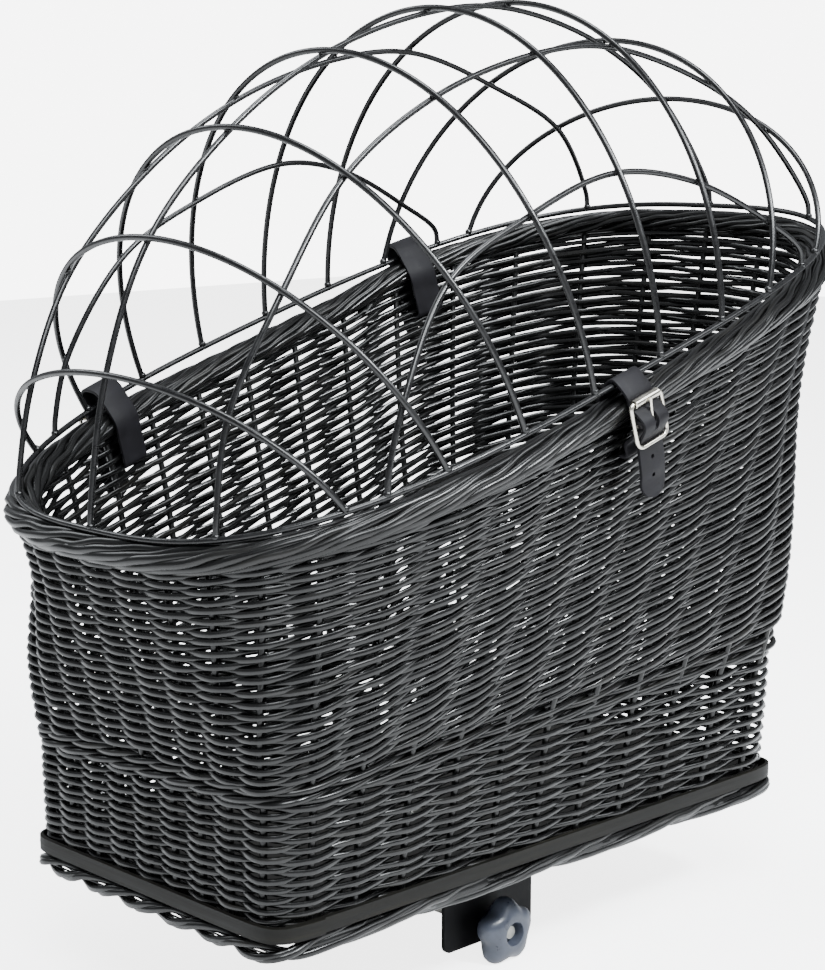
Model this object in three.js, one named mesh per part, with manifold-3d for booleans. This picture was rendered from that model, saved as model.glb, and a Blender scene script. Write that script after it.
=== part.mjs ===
import * as THREE from 'three';
import { mergeVertices } from 'three/addons/utils/BufferGeometryUtils.js';
import Module from 'manifold-3d';

// Dog bicycle basket: a tapered willow basket with a sloping rolled rim, a hinged dome of welded
// wire held by three buckled leather straps, and a screw clamp for the luggage carrier underneath.
// Lengths are in millimetres. X runs from the low end to the high end, +Y is the far (hinge) side
// and +Z is up. The basket stands on its foot border at z = 0 before the part is centred.

const wasm = await Module();
wasm.setup();

// Fits shared by every piece
const SEAT = 0.3;
const OVERRUN = 4;

// Basket outline, measured on the outer face of the weave
const BASE_LENGTH = 424;
const BASE_WIDTH = 218;
const WAIST_LENGTH = 434;
const WAIST_WIDTH = 232;
const WAIST_SHIFT = 2;
const WAIST_HEIGHT = 87;
const UPPER_STEP = 2.5;
const RIM_LENGTH = 508;
const RIM_WIDTH = 328;
const RIM_SHIFT = 13;
const RIM_HEIGHT = 283;
const RIM_SLOPE = 0.298;
const BASE_POWER = 20;
const WAIST_POWER = 12;
const RIM_POWER = 2.9;
const WALL_THICKNESS = 9;
const CORNER_DENSITY = 70;
const AROUND = 72;

// Borders, waling, edge strip and floor
const BORDER_HALF_WIDTH = 10;
const BORDER_HALF_HEIGHT = 8;
const WALE_HEIGHT = 12;
const WALE_PROUD = 2.5;
const FOOT_HEIGHT = 11;
const FOOT_PROUD = 4.5;
const FOOT_INSET = 13;
const FOOT_ROUNDING = 3;
const STRIP_HEIGHT = 13;
const STRIP_THICKNESS = 3;
const FLOOR_THICKNESS = 8;

// Dome of welded wire
const WIRE_RADIUS = 1.5;
const RING_RADIUS = 1.75;
const RING_OVERHANG = 2;
const RING_BOW = 4.9;
const DOME_RISE = 192;
const WIRE_SIDES = 6;
const HOOP_STEPS = 22;
const LONGITUDINAL_STEPS = 30;
const HOOP_STATION_SHARES = [-0.77, -0.57, -0.383, -0.1875, 0.0195, 0.23, 0.414, 0.674];
const HOOP_RISE_SHARES = [0.41, 0.7, 0.875, 0.975, 1, 0.94, 0.79, 0.515];
const HOOP_LEANS = [-38.9, -31.9, -22.1, -13.8, -4.8, -1, 14.6, 20.6];
const INNER_WIDTH_SHARES = [0.65, 0.6, 0.52, 0.5, 0.5, 0.51, 0.56, 0.6];
const OUTER_WIDTH_SHARES = [0.95, 0.86, 0.85, 0.85, 0.9, 0.96];
const OUTER_FIRST_HOOP = 1;
const INNER_FOOT_SHARES = [-0.945, 0.93];
const OUTER_FOOT_SHARES = [-0.695, 0.586];

// Buckled straps: one closes the near side, two hinge the dome on the far side
const STRAP_WIDTH = 20;
const STRAP_THICKNESS = 2;
const STRAP_TIP_LENGTH = 10;
const STRAP_SLOT_DROP = 27;
const STRAP_SLOT_CLEARANCE = 0.6;
const STRAP_TAIL_DROP = 53;
const CLOSING_STATION = -8;
const HINGE_STATIONS = [-113, 142];
const HINGE_OUTSET = 6.4;
const DOME_OPENING = 100;

// Roller buckles
const BUCKLE_OUTSET = 14.7;
const BUCKLE_PITCH = 12.5;
const BUCKLE_BAR_DROP = 7.5;
const BUCKLE_WIRE_RADIUS = 1.25;
const BUCKLE_SIDE_CLEARANCE = 1.2;
const BUCKLE_CORNER = 2.6;
const ROLLER_RADIUS = 2.5;
const ROLLER_LENGTH = 20.6;
const PRONG_RADIUS = 1;
const PRONG_CLEARANCE = 0.35;
const PRONG_SLOT_CLEARANCE = 0.5;
const PRONG_HOLE_BELOW = 5.4;
const PRONG_HOLE_ABOVE = 8.7;

// Carrier clamp
const CLAMP_WIDTH = 75;
const CLAMP_SPAN = 108;
const CLAMP_DROP = 59;
const CLAMP_CORNER = 5;
const PLATE_THICKNESS = 2.5;
const SADDLE_NEAR_REACH = 46;
const JAW_LEG_WIDTH = 44;
const JAW_LEG_REACH = 44;
const JAW_TRAVEL_OUT = 10;
const JAW_TRAVEL_IN = 15;
const STUD_RADIUS = 3;
const STUD_HEAD_RADIUS = 5.5;
const STUD_HEAD_HEIGHT = 2;
const STUD_SPACING = 24;
const STUD_OFFSET = 30;
const ROD_RADIUS = 3.9;
const ROD_DROP = 50;
const ROD_NEAR_REACH = 75;
const ROD_FAR_STUB = 2;
const HOLE_CLEARANCE = 0.4;
const NUT_HEIGHT = 6.5;
const NUT_ACROSS_CORNERS = 15;
const WASHER_RADIUS = 8;
const WASHER_THICKNESS = 1.6;
const KNOB_RADIUS = 21;
const KNOB_LENGTH = 20;
const KNOB_BOSS_RADIUS = 10;
const KNOB_LOBES = 5;
const KNOB_LOBE_SHARE = 0.2;

// Floor bolts that hold the saddle
const BOLT_RADIUS = 3;
const BOLT_HEAD_RADIUS = 7.5;
const BOLT_HEAD_HEIGHT = 3.2;
const BOLT_NUT_HEIGHT = 5;
const BOLT_NUT_ACROSS_CORNERS = 11.5;
const BOLT_SPACING = 60;
const BOLT_ROWS = [-20, 40];

const FINISH = {
  willow: new THREE.MeshStandardMaterial({ name: 'black dyed willow', color: 0x1c1d1d, roughness: 0.6 }),
  rim: new THREE.MeshStandardMaterial({ name: 'black dyed willow rods', color: 0x232424, roughness: 0.55 }),
  strip: new THREE.MeshStandardMaterial({ name: 'split willow strip', color: 0x2f2d24, roughness: 0.7 }),
  floor: new THREE.MeshStandardMaterial({ name: 'stained plywood', color: 0x2b251d, roughness: 0.8 }),
  wire: new THREE.MeshStandardMaterial({ name: 'powder coated wire', color: 0x1e1f20, roughness: 0.5, metalness: 0.3 }),
  leather: new THREE.MeshStandardMaterial({ name: 'charcoal leather', color: 0x3c3b40, roughness: 0.65 }),
  nickel: new THREE.MeshStandardMaterial({ name: 'nickel plated wire', color: 0xc6c2b8, roughness: 0.3, metalness: 0.9 }),
  plate: new THREE.MeshStandardMaterial({ name: 'black painted steel', color: 0x17171b, roughness: 0.5, metalness: 0.4 }),
  zinc: new THREE.MeshStandardMaterial({ name: 'zinc plated steel', color: 0x9b9b97, roughness: 0.4, metalness: 0.8 }),
  knob: new THREE.MeshStandardMaterial({ name: 'moulded polyamide', color: 0x474c57, roughness: 0.55 }),
};

const group = new THREE.Group();
group.name = 'dog_bicycle_basket';

function weld(geometry) {
  const bare = geometry.clone();
  bare.deleteAttribute('normal');
  bare.deleteAttribute('uv');
  return mergeVertices(bare);
}

// Turns the faces outwards, whichever way the pattern of points ran
function faceOutwards(geometry) {
  const position = geometry.attributes.position;
  const index = geometry.index;
  const a = new THREE.Vector3();
  const b = new THREE.Vector3();
  const c = new THREE.Vector3();
  let volume = 0;
  for (let i = 0; i < index.count; i += 3) {
    a.fromBufferAttribute(position, index.getX(i));
    b.fromBufferAttribute(position, index.getX(i + 1));
    c.fromBufferAttribute(position, index.getX(i + 2));
    volume += a.dot(b.cross(c));
  }
  if (volume < 0) {
    for (let i = 0; i < index.count; i += 3) {
      const second = index.getX(i + 1);
      index.setX(i + 1, index.getX(i + 2));
      index.setX(i + 2, second);
    }
  }
  return geometry;
}

function addPart(name, geometry, material) {
  const body = faceOutwards(weld(geometry));
  body.computeVertexNormals();
  const mesh = new THREE.Mesh(body, material);
  mesh.name = name;
  group.add(mesh);
  return mesh;
}

function toManifold(geometry) {
  const body = faceOutwards(weld(geometry));
  return new wasm.Manifold(new wasm.Mesh({
    numProp: 3,
    vertProperties: new Float32Array(body.attributes.position.array),
    triVerts: new Uint32Array(body.index.array),
  }));
}

function fromManifold(manifold) {
  const mesh = manifold.getMesh();
  const geometry = new THREE.BufferGeometry();
  geometry.setAttribute('position', new THREE.BufferAttribute(new Float32Array(mesh.vertProperties), 3));
  geometry.setIndex(new THREE.BufferAttribute(new Uint32Array(mesh.triVerts), 1));
  return geometry;
}

function joinAll(geometries) {
  return fromManifold(geometries.map(toManifold).reduce((whole, next) => whole.add(next)));
}

function cutAll(geometry, tools) {
  return fromManifold(tools.map(toManifold).reduce((whole, tool) => whole.subtract(tool), toManifold(geometry)));
}

// A closed loop of sections: rows of points that join round both ways
function loopBody(rows) {
  const across = rows[0].length;
  const points = rows.flat().flatMap((point) => [point.x, point.y, point.z]);
  const faces = [];
  rows.forEach((row, i) => {
    const next = (i + 1) % rows.length;
    for (let j = 0; j < across; j += 1) {
      const beside = (j + 1) % across;
      faces.push(i * across + j, next * across + j, next * across + beside);
      faces.push(i * across + j, next * across + beside, i * across + beside);
    }
  });
  return indexed(points, faces);
}

// A lofted body: sections joined in a row, with a flat cap at each end
function loftBody(rows) {
  const across = rows[0].length;
  const points = rows.flat().flatMap((point) => [point.x, point.y, point.z]);
  const faces = [];
  for (let i = 0; i + 1 < rows.length; i += 1) {
    for (let j = 0; j < across; j += 1) {
      const beside = (j + 1) % across;
      faces.push(i * across + j, (i + 1) * across + j, (i + 1) * across + beside);
      faces.push(i * across + j, (i + 1) * across + beside, i * across + beside);
    }
  }
  const last = (rows.length - 1) * across;
  for (let j = 1; j + 1 < across; j += 1) {
    faces.push(0, j, j + 1);
    faces.push(last, last + j + 1, last + j);
  }
  return indexed(points, faces);
}

function indexed(points, faces) {
  const geometry = new THREE.BufferGeometry();
  geometry.setAttribute('position', new THREE.Float32BufferAttribute(points, 3));
  geometry.setIndex(faces);
  return geometry;
}

function polygon(radius, sides) {
  return Array.from({ length: sides }, (_, i) => {
    const angle = (2 * Math.PI * i) / sides;
    return new THREE.Vector2(radius * Math.cos(angle), radius * Math.sin(angle));
  });
}

// Round wire along an open curve, with square cut ends
function wireBody(curve, radius, steps, sides = WIRE_SIDES) {
  const section = new THREE.Shape(polygon(radius, sides));
  return new THREE.ExtrudeGeometry(section, { steps, extrudePath: curve, bevelEnabled: false });
}

// Round wire along a closed run of points; upward is square to the run's plane
function closedWire(points, radius, sides, upward) {
  const rows = points.map((point, i) => {
    const before = points[(i + points.length - 1) % points.length];
    const after = points[(i + 1) % points.length];
    const along = after.clone().sub(before).normalize();
    const side = along.clone().cross(upward).normalize();
    const up = side.clone().cross(along);
    return polygon(radius, sides).map((p) => point.clone()
      .addScaledVector(side, p.x).addScaledVector(up, p.y));
  });
  return loopBody(rows);
}

// An upright box between two corners
function box(low, high) {
  const size = high.clone().sub(low);
  const middle = low.clone().add(high).multiplyScalar(0.5);
  return new THREE.BoxGeometry(size.x, size.y, size.z).translate(middle.x, middle.y, middle.z);
}

// A round bar along Y between two stations, or along Z with upright set
function bar(radius, from, to, x, other, sides, upright = false) {
  const geometry = new THREE.CylinderGeometry(radius, radius, to - from, sides);
  if (upright) return geometry.rotateX(Math.PI / 2).translate(x, other, (from + to) / 2);
  return geometry.translate(x, (from + to) / 2, other);
}

// Basket outline at one level: a superellipse, stepped evenly but closer together in the corners
function outline(halfLength, halfWidth, power, shift) {
  const fine = 1440;
  const raw = Array.from({ length: fine + 1 }, (_, i) => {
    const angle = (2 * Math.PI * i) / fine;
    const c = Math.cos(angle);
    const s = Math.sin(angle);
    return new THREE.Vector2(
      shift + halfLength * Math.sign(c) * Math.abs(c) ** (2 / power),
      halfWidth * Math.sign(s) * Math.abs(s) ** (2 / power),
    );
  });
  const reach = [0];
  let heading = null;
  for (let i = 1; i <= fine; i += 1) {
    const step = raw[i].clone().sub(raw[i - 1]);
    const turned = heading === null ? 0 : Math.abs(Math.atan2(heading.cross(step), heading.dot(step)));
    heading = step;
    reach.push(reach[i - 1] + step.length() + CORNER_DENSITY * turned);
  }
  const points = [];
  let k = 0;
  for (let i = 0; i < AROUND; i += 1) {
    const wanted = (reach[fine] * i) / AROUND;
    while (reach[k + 1] < wanted) k += 1;
    const share = (wanted - reach[k]) / Math.max(reach[k + 1] - reach[k], Number.EPSILON);
    points.push(raw[k].clone().lerp(raw[k + 1], share));
  }
  return points;
}

const rimPlane = (x) => RIM_HEIGHT + RIM_SLOPE * (x - RIM_SHIFT);
const ringLift = (x) => {
  const share = (x - RIM_SHIFT) / (RIM_LENGTH / 2 + RING_OVERHANG);
  return BORDER_HALF_HEIGHT + SEAT + RING_RADIUS + RING_BOW * (1 - share * share);
};
const ringHeight = (x) => rimPlane(x) + ringLift(x);
const ringHalfLength = RIM_LENGTH / 2 + RING_OVERHANG;
const ringHalfWidth = RIM_WIDTH / 2 + RING_OVERHANG;
const ringWidthAt = (x) => {
  const share = Math.abs((x - RIM_SHIFT) / ringHalfLength);
  return ringHalfWidth * (1 - share ** RIM_POWER) ** (1 / RIM_POWER);
};
const rimMiddle = (x) => {
  const share = Math.abs((x - RIM_SHIFT) / (RIM_LENGTH / 2));
  return (RIM_WIDTH / 2) * (1 - share ** RIM_POWER) ** (1 / RIM_POWER);
};
const ringStation = (share) => RIM_SHIFT + share * ringHalfLength;
const ringPoint = (x, side) => new THREE.Vector3(x, side * ringWidthAt(x), ringHeight(x));

// Basket body: woven walls, borders, edge strip and floor
const waistLow = WAIST_HEIGHT - WALE_HEIGHT / 2;
const waistHigh = WAIST_HEIGHT + WALE_HEIGHT / 2;
const wallTop = (x) => rimPlane(x) - BORDER_HALF_HEIGHT - SEAT;

function lowerSection(share, inset) {
  const length = BASE_LENGTH + (WAIST_LENGTH - BASE_LENGTH) * share;
  const width = BASE_WIDTH + (WAIST_WIDTH - BASE_WIDTH) * share;
  const power = BASE_POWER + (WAIST_POWER - BASE_POWER) * share;
  return outline(length / 2 - inset, width / 2 - inset, power, WAIST_SHIFT * share);
}

function upperSection(share, inset) {
  const startLength = WAIST_LENGTH + 2 * UPPER_STEP;
  const startWidth = WAIST_WIDTH + 2 * UPPER_STEP;
  const length = startLength + (RIM_LENGTH + WALL_THICKNESS - startLength) * share;
  const width = startWidth + (RIM_WIDTH + WALL_THICKNESS - startWidth) * share;
  const power = RIM_POWER + (WAIST_POWER - RIM_POWER) * (1 - share) ** 3;
  return outline(length / 2 - inset, width / 2 - inset, power, WAIST_SHIFT + (RIM_SHIFT - WAIST_SHIFT) * share);
}

function wallRows(section, shares, heightAt) {
  const outer = shares.map((share) => section(share, 0)
    .map((p) => new THREE.Vector3(p.x, p.y, heightAt(share, p.x))));
  const inner = shares.map((share) => section(share, WALL_THICKNESS)
    .map((p) => new THREE.Vector3(p.x, p.y, heightAt(share, p.x))));
  return [...outer, ...inner.reverse()];
}

const lowerStart = FOOT_HEIGHT + SEAT;
const lowerEnd = waistLow - SEAT;
const upperStart = waistHigh + SEAT;
addPart('wall_lower', loopBody(wallRows(lowerSection, [0, 0.5, 1],
  (share) => lowerStart + (lowerEnd - lowerStart) * share)), FINISH.willow);
const upperWall = loopBody(wallRows(upperSection, [0, 0.3, 0.65, 1],
  (share, x) => upperStart + (wallTop(x) - upperStart) * share));

function sectionLoop(pairs) {
  return loopBody(pairs.map(([inset, height]) => lowerSection(0, inset)
    .map((p) => new THREE.Vector3(p.x, p.y, height))));
}

addPart('foot_border', sectionLoop([
  [-FOOT_PROUD + FOOT_ROUNDING, 0],
  [-FOOT_PROUD, FOOT_ROUNDING],
  [-FOOT_PROUD, FOOT_HEIGHT - FOOT_ROUNDING],
  [-FOOT_PROUD + FOOT_ROUNDING, FOOT_HEIGHT],
  [FOOT_INSET, FOOT_HEIGHT],
  [FOOT_INSET, FOOT_ROUNDING],
  [FOOT_INSET - FOOT_ROUNDING, 0],
]), FINISH.rim);

function stripLoop(inset, low, high) {
  const heights = [low, high];
  const rings = [-(SEAT + STRIP_THICKNESS), -SEAT].map((grow) => heights.map((height) => {
    const share = (height - lowerStart) / (lowerEnd - lowerStart);
    return lowerSection(share, grow + inset).map((p) => new THREE.Vector3(p.x, p.y, height));
  }));
  return loopBody([rings[0][0], rings[0][1], rings[1][1], rings[1][0]]);
}

const stripLow = FOOT_HEIGHT + SEAT;
addPart('edge_strip', stripLoop(0, stripLow, stripLow + STRIP_HEIGHT), FINISH.strip);

const waleLow = waistLow;
addPart('waling', loopBody([
  [-WALE_PROUD, waleLow + WALE_PROUD],
  [-WALE_PROUD, waistHigh - WALE_PROUD],
  [0, waistHigh],
  [WALL_THICKNESS, waistHigh],
  [WALL_THICKNESS + WALE_PROUD, waistHigh - WALE_PROUD],
  [WALL_THICKNESS + WALE_PROUD, waleLow + WALE_PROUD],
  [WALL_THICKNESS, waleLow],
  [0, waleLow],
].map(([inset, height]) => lowerSection(1, inset)
  .map((p) => new THREE.Vector3(p.x, p.y, height)))), FINISH.rim);

const floorLow = FOOT_HEIGHT + SEAT;
const floorHigh = floorLow + FLOOR_THICKNESS;
const floorBody = loftBody([floorLow, floorHigh].map((height) => lowerSection(0, WALL_THICKNESS + SEAT)
  .map((p) => new THREE.Vector3(p.x, p.y, height))));
const boltPlaces = BOLT_ROWS.flatMap((y) => [-1, 1].map((side) => [(side * BOLT_SPACING) / 2, y]));
addPart('floor_board', cutAll(floorBody, boltPlaces.map(([x, y]) => bar(BOLT_RADIUS + HOLE_CLEARANCE,
  floorLow - OVERRUN, floorHigh + OVERRUN, x, y, 12, true))), FINISH.floor);

const borderSection = polygon(1, 10);
const borderRows = borderSection.map((p) => outline(
  RIM_LENGTH / 2 + BORDER_HALF_WIDTH * p.x,
  RIM_WIDTH / 2 + BORDER_HALF_WIDTH * p.x,
  RIM_POWER,
  RIM_SHIFT,
).map((q) => new THREE.Vector3(q.x, q.y, rimPlane(q.x) + BORDER_HALF_HEIGHT * p.y)));
addPart('rim_border', loopBody(borderRows), FINISH.rim);

// Dome ring
const ringPoints = outline(ringHalfLength, ringHalfWidth, RIM_POWER, RIM_SHIFT)
  .map((p) => new THREE.Vector3(p.x, p.y, ringHeight(p.x)));
addPart('dome_ring', closedWire(ringPoints, RING_RADIUS, WIRE_SIDES, new THREE.Vector3(0, 0, 1)), FINISH.wire);

// How far up its own direction a wire starts, so that its square end clears the ring
function footStart(x, side, direction) {
  const step = ringHalfLength / AROUND;
  const ahead = ringPoint(Math.min(x + step, RIM_SHIFT + ringHalfLength), side);
  const behind = ringPoint(Math.max(x - step, RIM_SHIFT - ringHalfLength), side);
  const along = ahead.sub(behind).normalize();
  const sine = Math.abs(along.dot(direction));
  const cosine = Math.sqrt(1 - sine * sine);
  return (RING_RADIUS + SEAT + WIRE_RADIUS * sine) / cosine;
}

// A hoop is a half ellipse across the basket, in a plane that leans with the fan of the dome
class Hoop {
  constructor(index) {
    this.x = ringStation(HOOP_STATION_SHARES[index]);
    this.halfWidth = ringWidthAt(this.x);
    this.rise = DOME_RISE * HOOP_RISE_SHARES[index];
    const lean = THREE.MathUtils.degToRad(HOOP_LEANS[index]);
    this.up = new THREE.Vector3(Math.sin(lean), 0, Math.cos(lean));
    this.start = footStart(this.x, 1, this.up);
  }

  at(across, up) {
    return new THREE.Vector3(this.x, across, ringHeight(this.x)).addScaledVector(this.up, up);
  }

  pointAt(angle) {
    const up = this.start + (this.rise - this.start) * Math.sin(angle);
    return this.at(-this.halfWidth * Math.cos(angle), up);
  }

  // Point and run of the hoop where it stands a share of its half width from the middle
  crossing(share) {
    const angle = Math.acos(-share);
    const point = this.pointAt(angle);
    const step = Math.PI / HOOP_STEPS / 10;
    const run = this.pointAt(angle + step).sub(this.pointAt(angle - step)).normalize();
    return { point, run };
  }

  curve() {
    const hoop = this;
    class HoopCurve extends THREE.Curve {
      getPoint(t, target = new THREE.Vector3()) {
        return target.copy(hoop.pointAt(Math.PI * t));
      }
    }
    return new HoopCurve();
  }
}

const hoops = HOOP_STATION_SHARES.map((_, index) => new Hoop(index));
hoops.forEach((hoop, index) => {
  addPart(`dome_hoop_${index + 1}`, wireBody(hoop.curve(), WIRE_RADIUS, HOOP_STEPS), FINISH.wire);
});

// A longitudinal wire lies inside the hoops and is welded to each one that it crosses
function longitudinal(crossed, shares, side, feet) {
  const marks = crossed.map((hoop, i) => hoop.crossing(side * shares[i]));
  const inside = marks.map(({ point, run }, i) => {
    const ahead = marks[Math.min(i + 1, marks.length - 1)].point;
    const behind = marks[Math.max(i - 1, 0)].point;
    const outward = ahead.clone().sub(behind).cross(run).normalize();
    const centre = new THREE.Vector3(point.x, 0, RIM_HEIGHT);
    if (outward.dot(point.clone().sub(centre)) < 0) outward.negate();
    return point.clone().addScaledVector(outward, -(2 * WIRE_RADIUS + SEAT));
  });
  const ends = feet.map((foot, i) => {
    const near = i === 0 ? inside[0] : inside[inside.length - 1];
    const rising = near.clone().sub(foot).normalize();
    const upright = rising.clone().add(new THREE.Vector3(0, 0, 2)).normalize();
    const lift = footStart(foot.x, Math.sign(foot.y) || 1, upright);
    return [foot.clone().addScaledVector(upright, lift), foot.clone().addScaledVector(upright, 3 * lift)];
  });
  const points = [ends[0][0], ends[0][1], ...inside, ends[1][1], ends[1][0]];
  return wireBody(new THREE.CatmullRomCurve3(points, false, 'centripetal'), WIRE_RADIUS, LONGITUDINAL_STEPS);
}

const endPoint = (side) => {
  const x = RIM_SHIFT + side * ringHalfLength;
  return new THREE.Vector3(x, 0, ringHeight(x));
};
addPart('dome_long_centre', longitudinal(hoops, hoops.map(() => 0), 1, [endPoint(-1), endPoint(1)]), FINISH.wire);
for (const [label, side] of [['near', -1], ['far', 1]]) {
  const innerFeet = INNER_FOOT_SHARES.map((share) => ringPoint(ringStation(share), side));
  const outerFeet = OUTER_FOOT_SHARES.map((share) => ringPoint(ringStation(share), side));
  const outerHoops = hoops.slice(OUTER_FIRST_HOOP, OUTER_FIRST_HOOP + OUTER_WIDTH_SHARES.length);
  addPart(`dome_long_${label}`, longitudinal(hoops, INNER_WIDTH_SHARES, side, innerFeet), FINISH.wire);
  addPart(`dome_low_${label}`, longitudinal(outerHoops, OUTER_WIDTH_SHARES, side, outerFeet), FINISH.wire);
}

// Frame of one strap: local x runs along the rim, y points outwards and z up, from the border's middle
function strapFrame(station, side) {
  const step = STRAP_WIDTH / 2;
  const before = ringPoint(station - step, side);
  const after = ringPoint(station + step, side);
  const plan = new THREE.Vector3(after.x - before.x, after.y - before.y, 0).normalize();
  const outward = new THREE.Vector3(-plan.y, plan.x, 0).multiplyScalar(side);
  const along = new THREE.Vector3(plan.x, plan.y, RIM_SLOPE * plan.x).normalize().multiplyScalar(side);
  const up = along.clone().cross(outward);
  const origin = new THREE.Vector3(station, side * rimMiddle(station), rimPlane(station));
  return new THREE.Matrix4().makeBasis(along, outward, up).setPosition(origin);
}

const barHeight = -BUCKLE_BAR_DROP;
const rollerHeight = barHeight + BUCKLE_PITCH;
const keeperHeight = barHeight - BUCKLE_PITCH;
const hookRadius = BUCKLE_WIRE_RADIUS + SEAT + STRAP_THICKNESS / 2;
const rimCosine = 1 / Math.hypot(1, RIM_SLOPE);

// Middle line of a strap, as (outward, up) pairs: from the hook round the buckle's bar, through the
// weave, up inside, over the ring and down through the buckle to the tail
function strapPath(ringUp, slack) {
  const half = STRAP_THICKNESS / 2;
  const round = (height, radius, degrees) => {
    const angle = THREE.MathUtils.degToRad(degrees);
    return [BUCKLE_OUTSET + radius * Math.cos(angle), height + radius * Math.sin(angle)];
  };
  const between = ([x, z], [u, w]) => [(x + u) / 2, (z + w) / 2];
  const turn = 3 * half;
  const inside = -(BORDER_HALF_WIDTH + 2 * SEAT + half);
  const slot = -STRAP_SLOT_DROP;
  const backOut = BUCKLE_OUTSET - hookRadius;
  const crest = ringUp + RING_RADIUS + SEAT + half + slack;
  const drift = slack + half;
  const shoulder = RING_RADIUS + SEAT + 2 * half;
  const rollerTurn = ROLLER_RADIUS + SEAT + half;
  const barTurn = hookRadius + 2 * half + SEAT;
  const keeperTurn = BUCKLE_WIRE_RADIUS + SEAT + half;
  const behindRoller = round(rollerHeight, rollerTurn, 180);
  const leaveRoller = round(rollerHeight, rollerTurn, 216);
  const meetBar = round(barHeight, barTurn, 36);
  const leaveBar = round(barHeight, barTurn, -36);
  const meetKeeper = round(keeperHeight, keeperTurn, 144);
  const leaveKeeper = round(keeperHeight, keeperTurn, 190);
  return [
    ...[-20, 20, 60, 100, 140, 180].map((degrees) => round(barHeight, hookRadius, degrees)),
    [backOut - half / 2, barHeight - turn],
    [backOut - turn, barHeight - 2.4 * turn],
    [backOut - 3 * turn, slot + 2.4 * turn],
    [BORDER_HALF_WIDTH / 4, slot + half / 2],
    [-BORDER_HALF_WIDTH / 4, slot],
    [inside + turn, slot],
    [inside + half / 2, slot + turn / 2],
    [inside, slot + 2 * turn],
    [inside, -BORDER_HALF_HEIGHT],
    [inside, BORDER_HALF_HEIGHT / 4],
    [(inside + RING_OVERHANG - shoulder) / 2, (ringUp + slack) / 2 + BORDER_HALF_HEIGHT / 3],
    [RING_OVERHANG - shoulder, crest - shoulder / 2],
    [RING_OVERHANG - half / 2, crest],
    [RING_OVERHANG + drift, crest],
    [Math.min(RING_OVERHANG + drift + shoulder, behindRoller[0] + half / 2), crest - shoulder / 1.4 - half],
    [behindRoller[0], rollerHeight + ROLLER_RADIUS],
    behindRoller,
    leaveRoller,
    between(leaveRoller, meetBar),
    meetBar,
    round(barHeight, barTurn, 0),
    leaveBar,
    between(leaveBar, meetKeeper),
    meetKeeper,
    leaveKeeper,
    [leaveKeeper[0] - turn / 2, (keeperHeight - STRAP_TAIL_DROP) / 2],
    [leaveKeeper[0] - turn, STRAP_TIP_LENGTH - STRAP_TAIL_DROP],
    [leaveKeeper[0] - turn, -STRAP_TAIL_DROP],
  ];
}

function strapBody(path) {
  const curve = new THREE.CatmullRomCurve3(path.map(([out, up]) => new THREE.Vector3(0, out, up)), false, 'centripetal');
  const spans = path.length - 1;
  const plain = Array.from({ length: 2 * spans - 1 }, (_, i) => i / (2 * spans));
  const tip = [0.4, 0.7, 0.88, 0.97].map((share) => (spans - 1 + share) / spans);
  const rows = [...plain, ...tip].map((stop) => {
    const point = curve.getPoint(stop);
    const along = curve.getTangent(stop);
    const across = new THREE.Vector3(0, -along.z, along.y).multiplyScalar(STRAP_THICKNESS / 2);
    const reach = Math.max(0, stop * spans - (spans - 1));
    const half = (STRAP_WIDTH / 2) * Math.sqrt(1 - reach * reach);
    return [[-1, -1], [1, -1], [1, 1], [-1, 1]].map(([x, y]) => point.clone()
      .add(new THREE.Vector3(half * x, 0, 0)).addScaledVector(across, y));
  });
  return loftBody(rows);
}

function strapCuts() {
  const half = PRONG_RADIUS + PRONG_SLOT_CLEARANCE;
  const reach = hookRadius + STRAP_THICKNESS / 2 + SEAT;
  const hookSlot = box(
    new THREE.Vector3(-half, BUCKLE_OUTSET - reach, barHeight - reach),
    new THREE.Vector3(half, BUCKLE_OUTSET + reach - SEAT / 2, barHeight + reach),
  );
  const prongHole = box(
    new THREE.Vector3(-half, BUCKLE_OUTSET - ROLLER_RADIUS, barHeight - PRONG_HOLE_BELOW),
    new THREE.Vector3(half, BUCKLE_OUTSET + reach + STRAP_THICKNESS + OVERRUN, barHeight + PRONG_HOLE_ABOVE),
  );
  return [hookSlot, prongHole];
}

function buckleFrame() {
  const side = STRAP_WIDTH / 2 + BUCKLE_SIDE_CLEARANCE + BUCKLE_WIRE_RADIUS;
  const corners = [[1, 1], [-1, 1], [-1, -1], [1, -1]];
  const points = corners.flatMap(([x, z], i) => {
    const centre = [x * (side - BUCKLE_CORNER), barHeight + z * (BUCKLE_PITCH - BUCKLE_CORNER)];
    return [0, 1, 2, 3].map((k) => {
      const angle = (Math.PI / 2) * (i + k / 3);
      return new THREE.Vector3(centre[0] + BUCKLE_CORNER * Math.cos(angle), BUCKLE_OUTSET,
        centre[1] + BUCKLE_CORNER * Math.sin(angle));
    });
  });
  const loop = closedWire(points, BUCKLE_WIRE_RADIUS, 8, new THREE.Vector3(0, 1, 0));
  const middle = new THREE.CylinderGeometry(BUCKLE_WIRE_RADIUS, BUCKLE_WIRE_RADIUS, 2 * side, 8)
    .rotateZ(Math.PI / 2).translate(0, BUCKLE_OUTSET, barHeight);
  return joinAll([loop, middle]);
}

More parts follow.
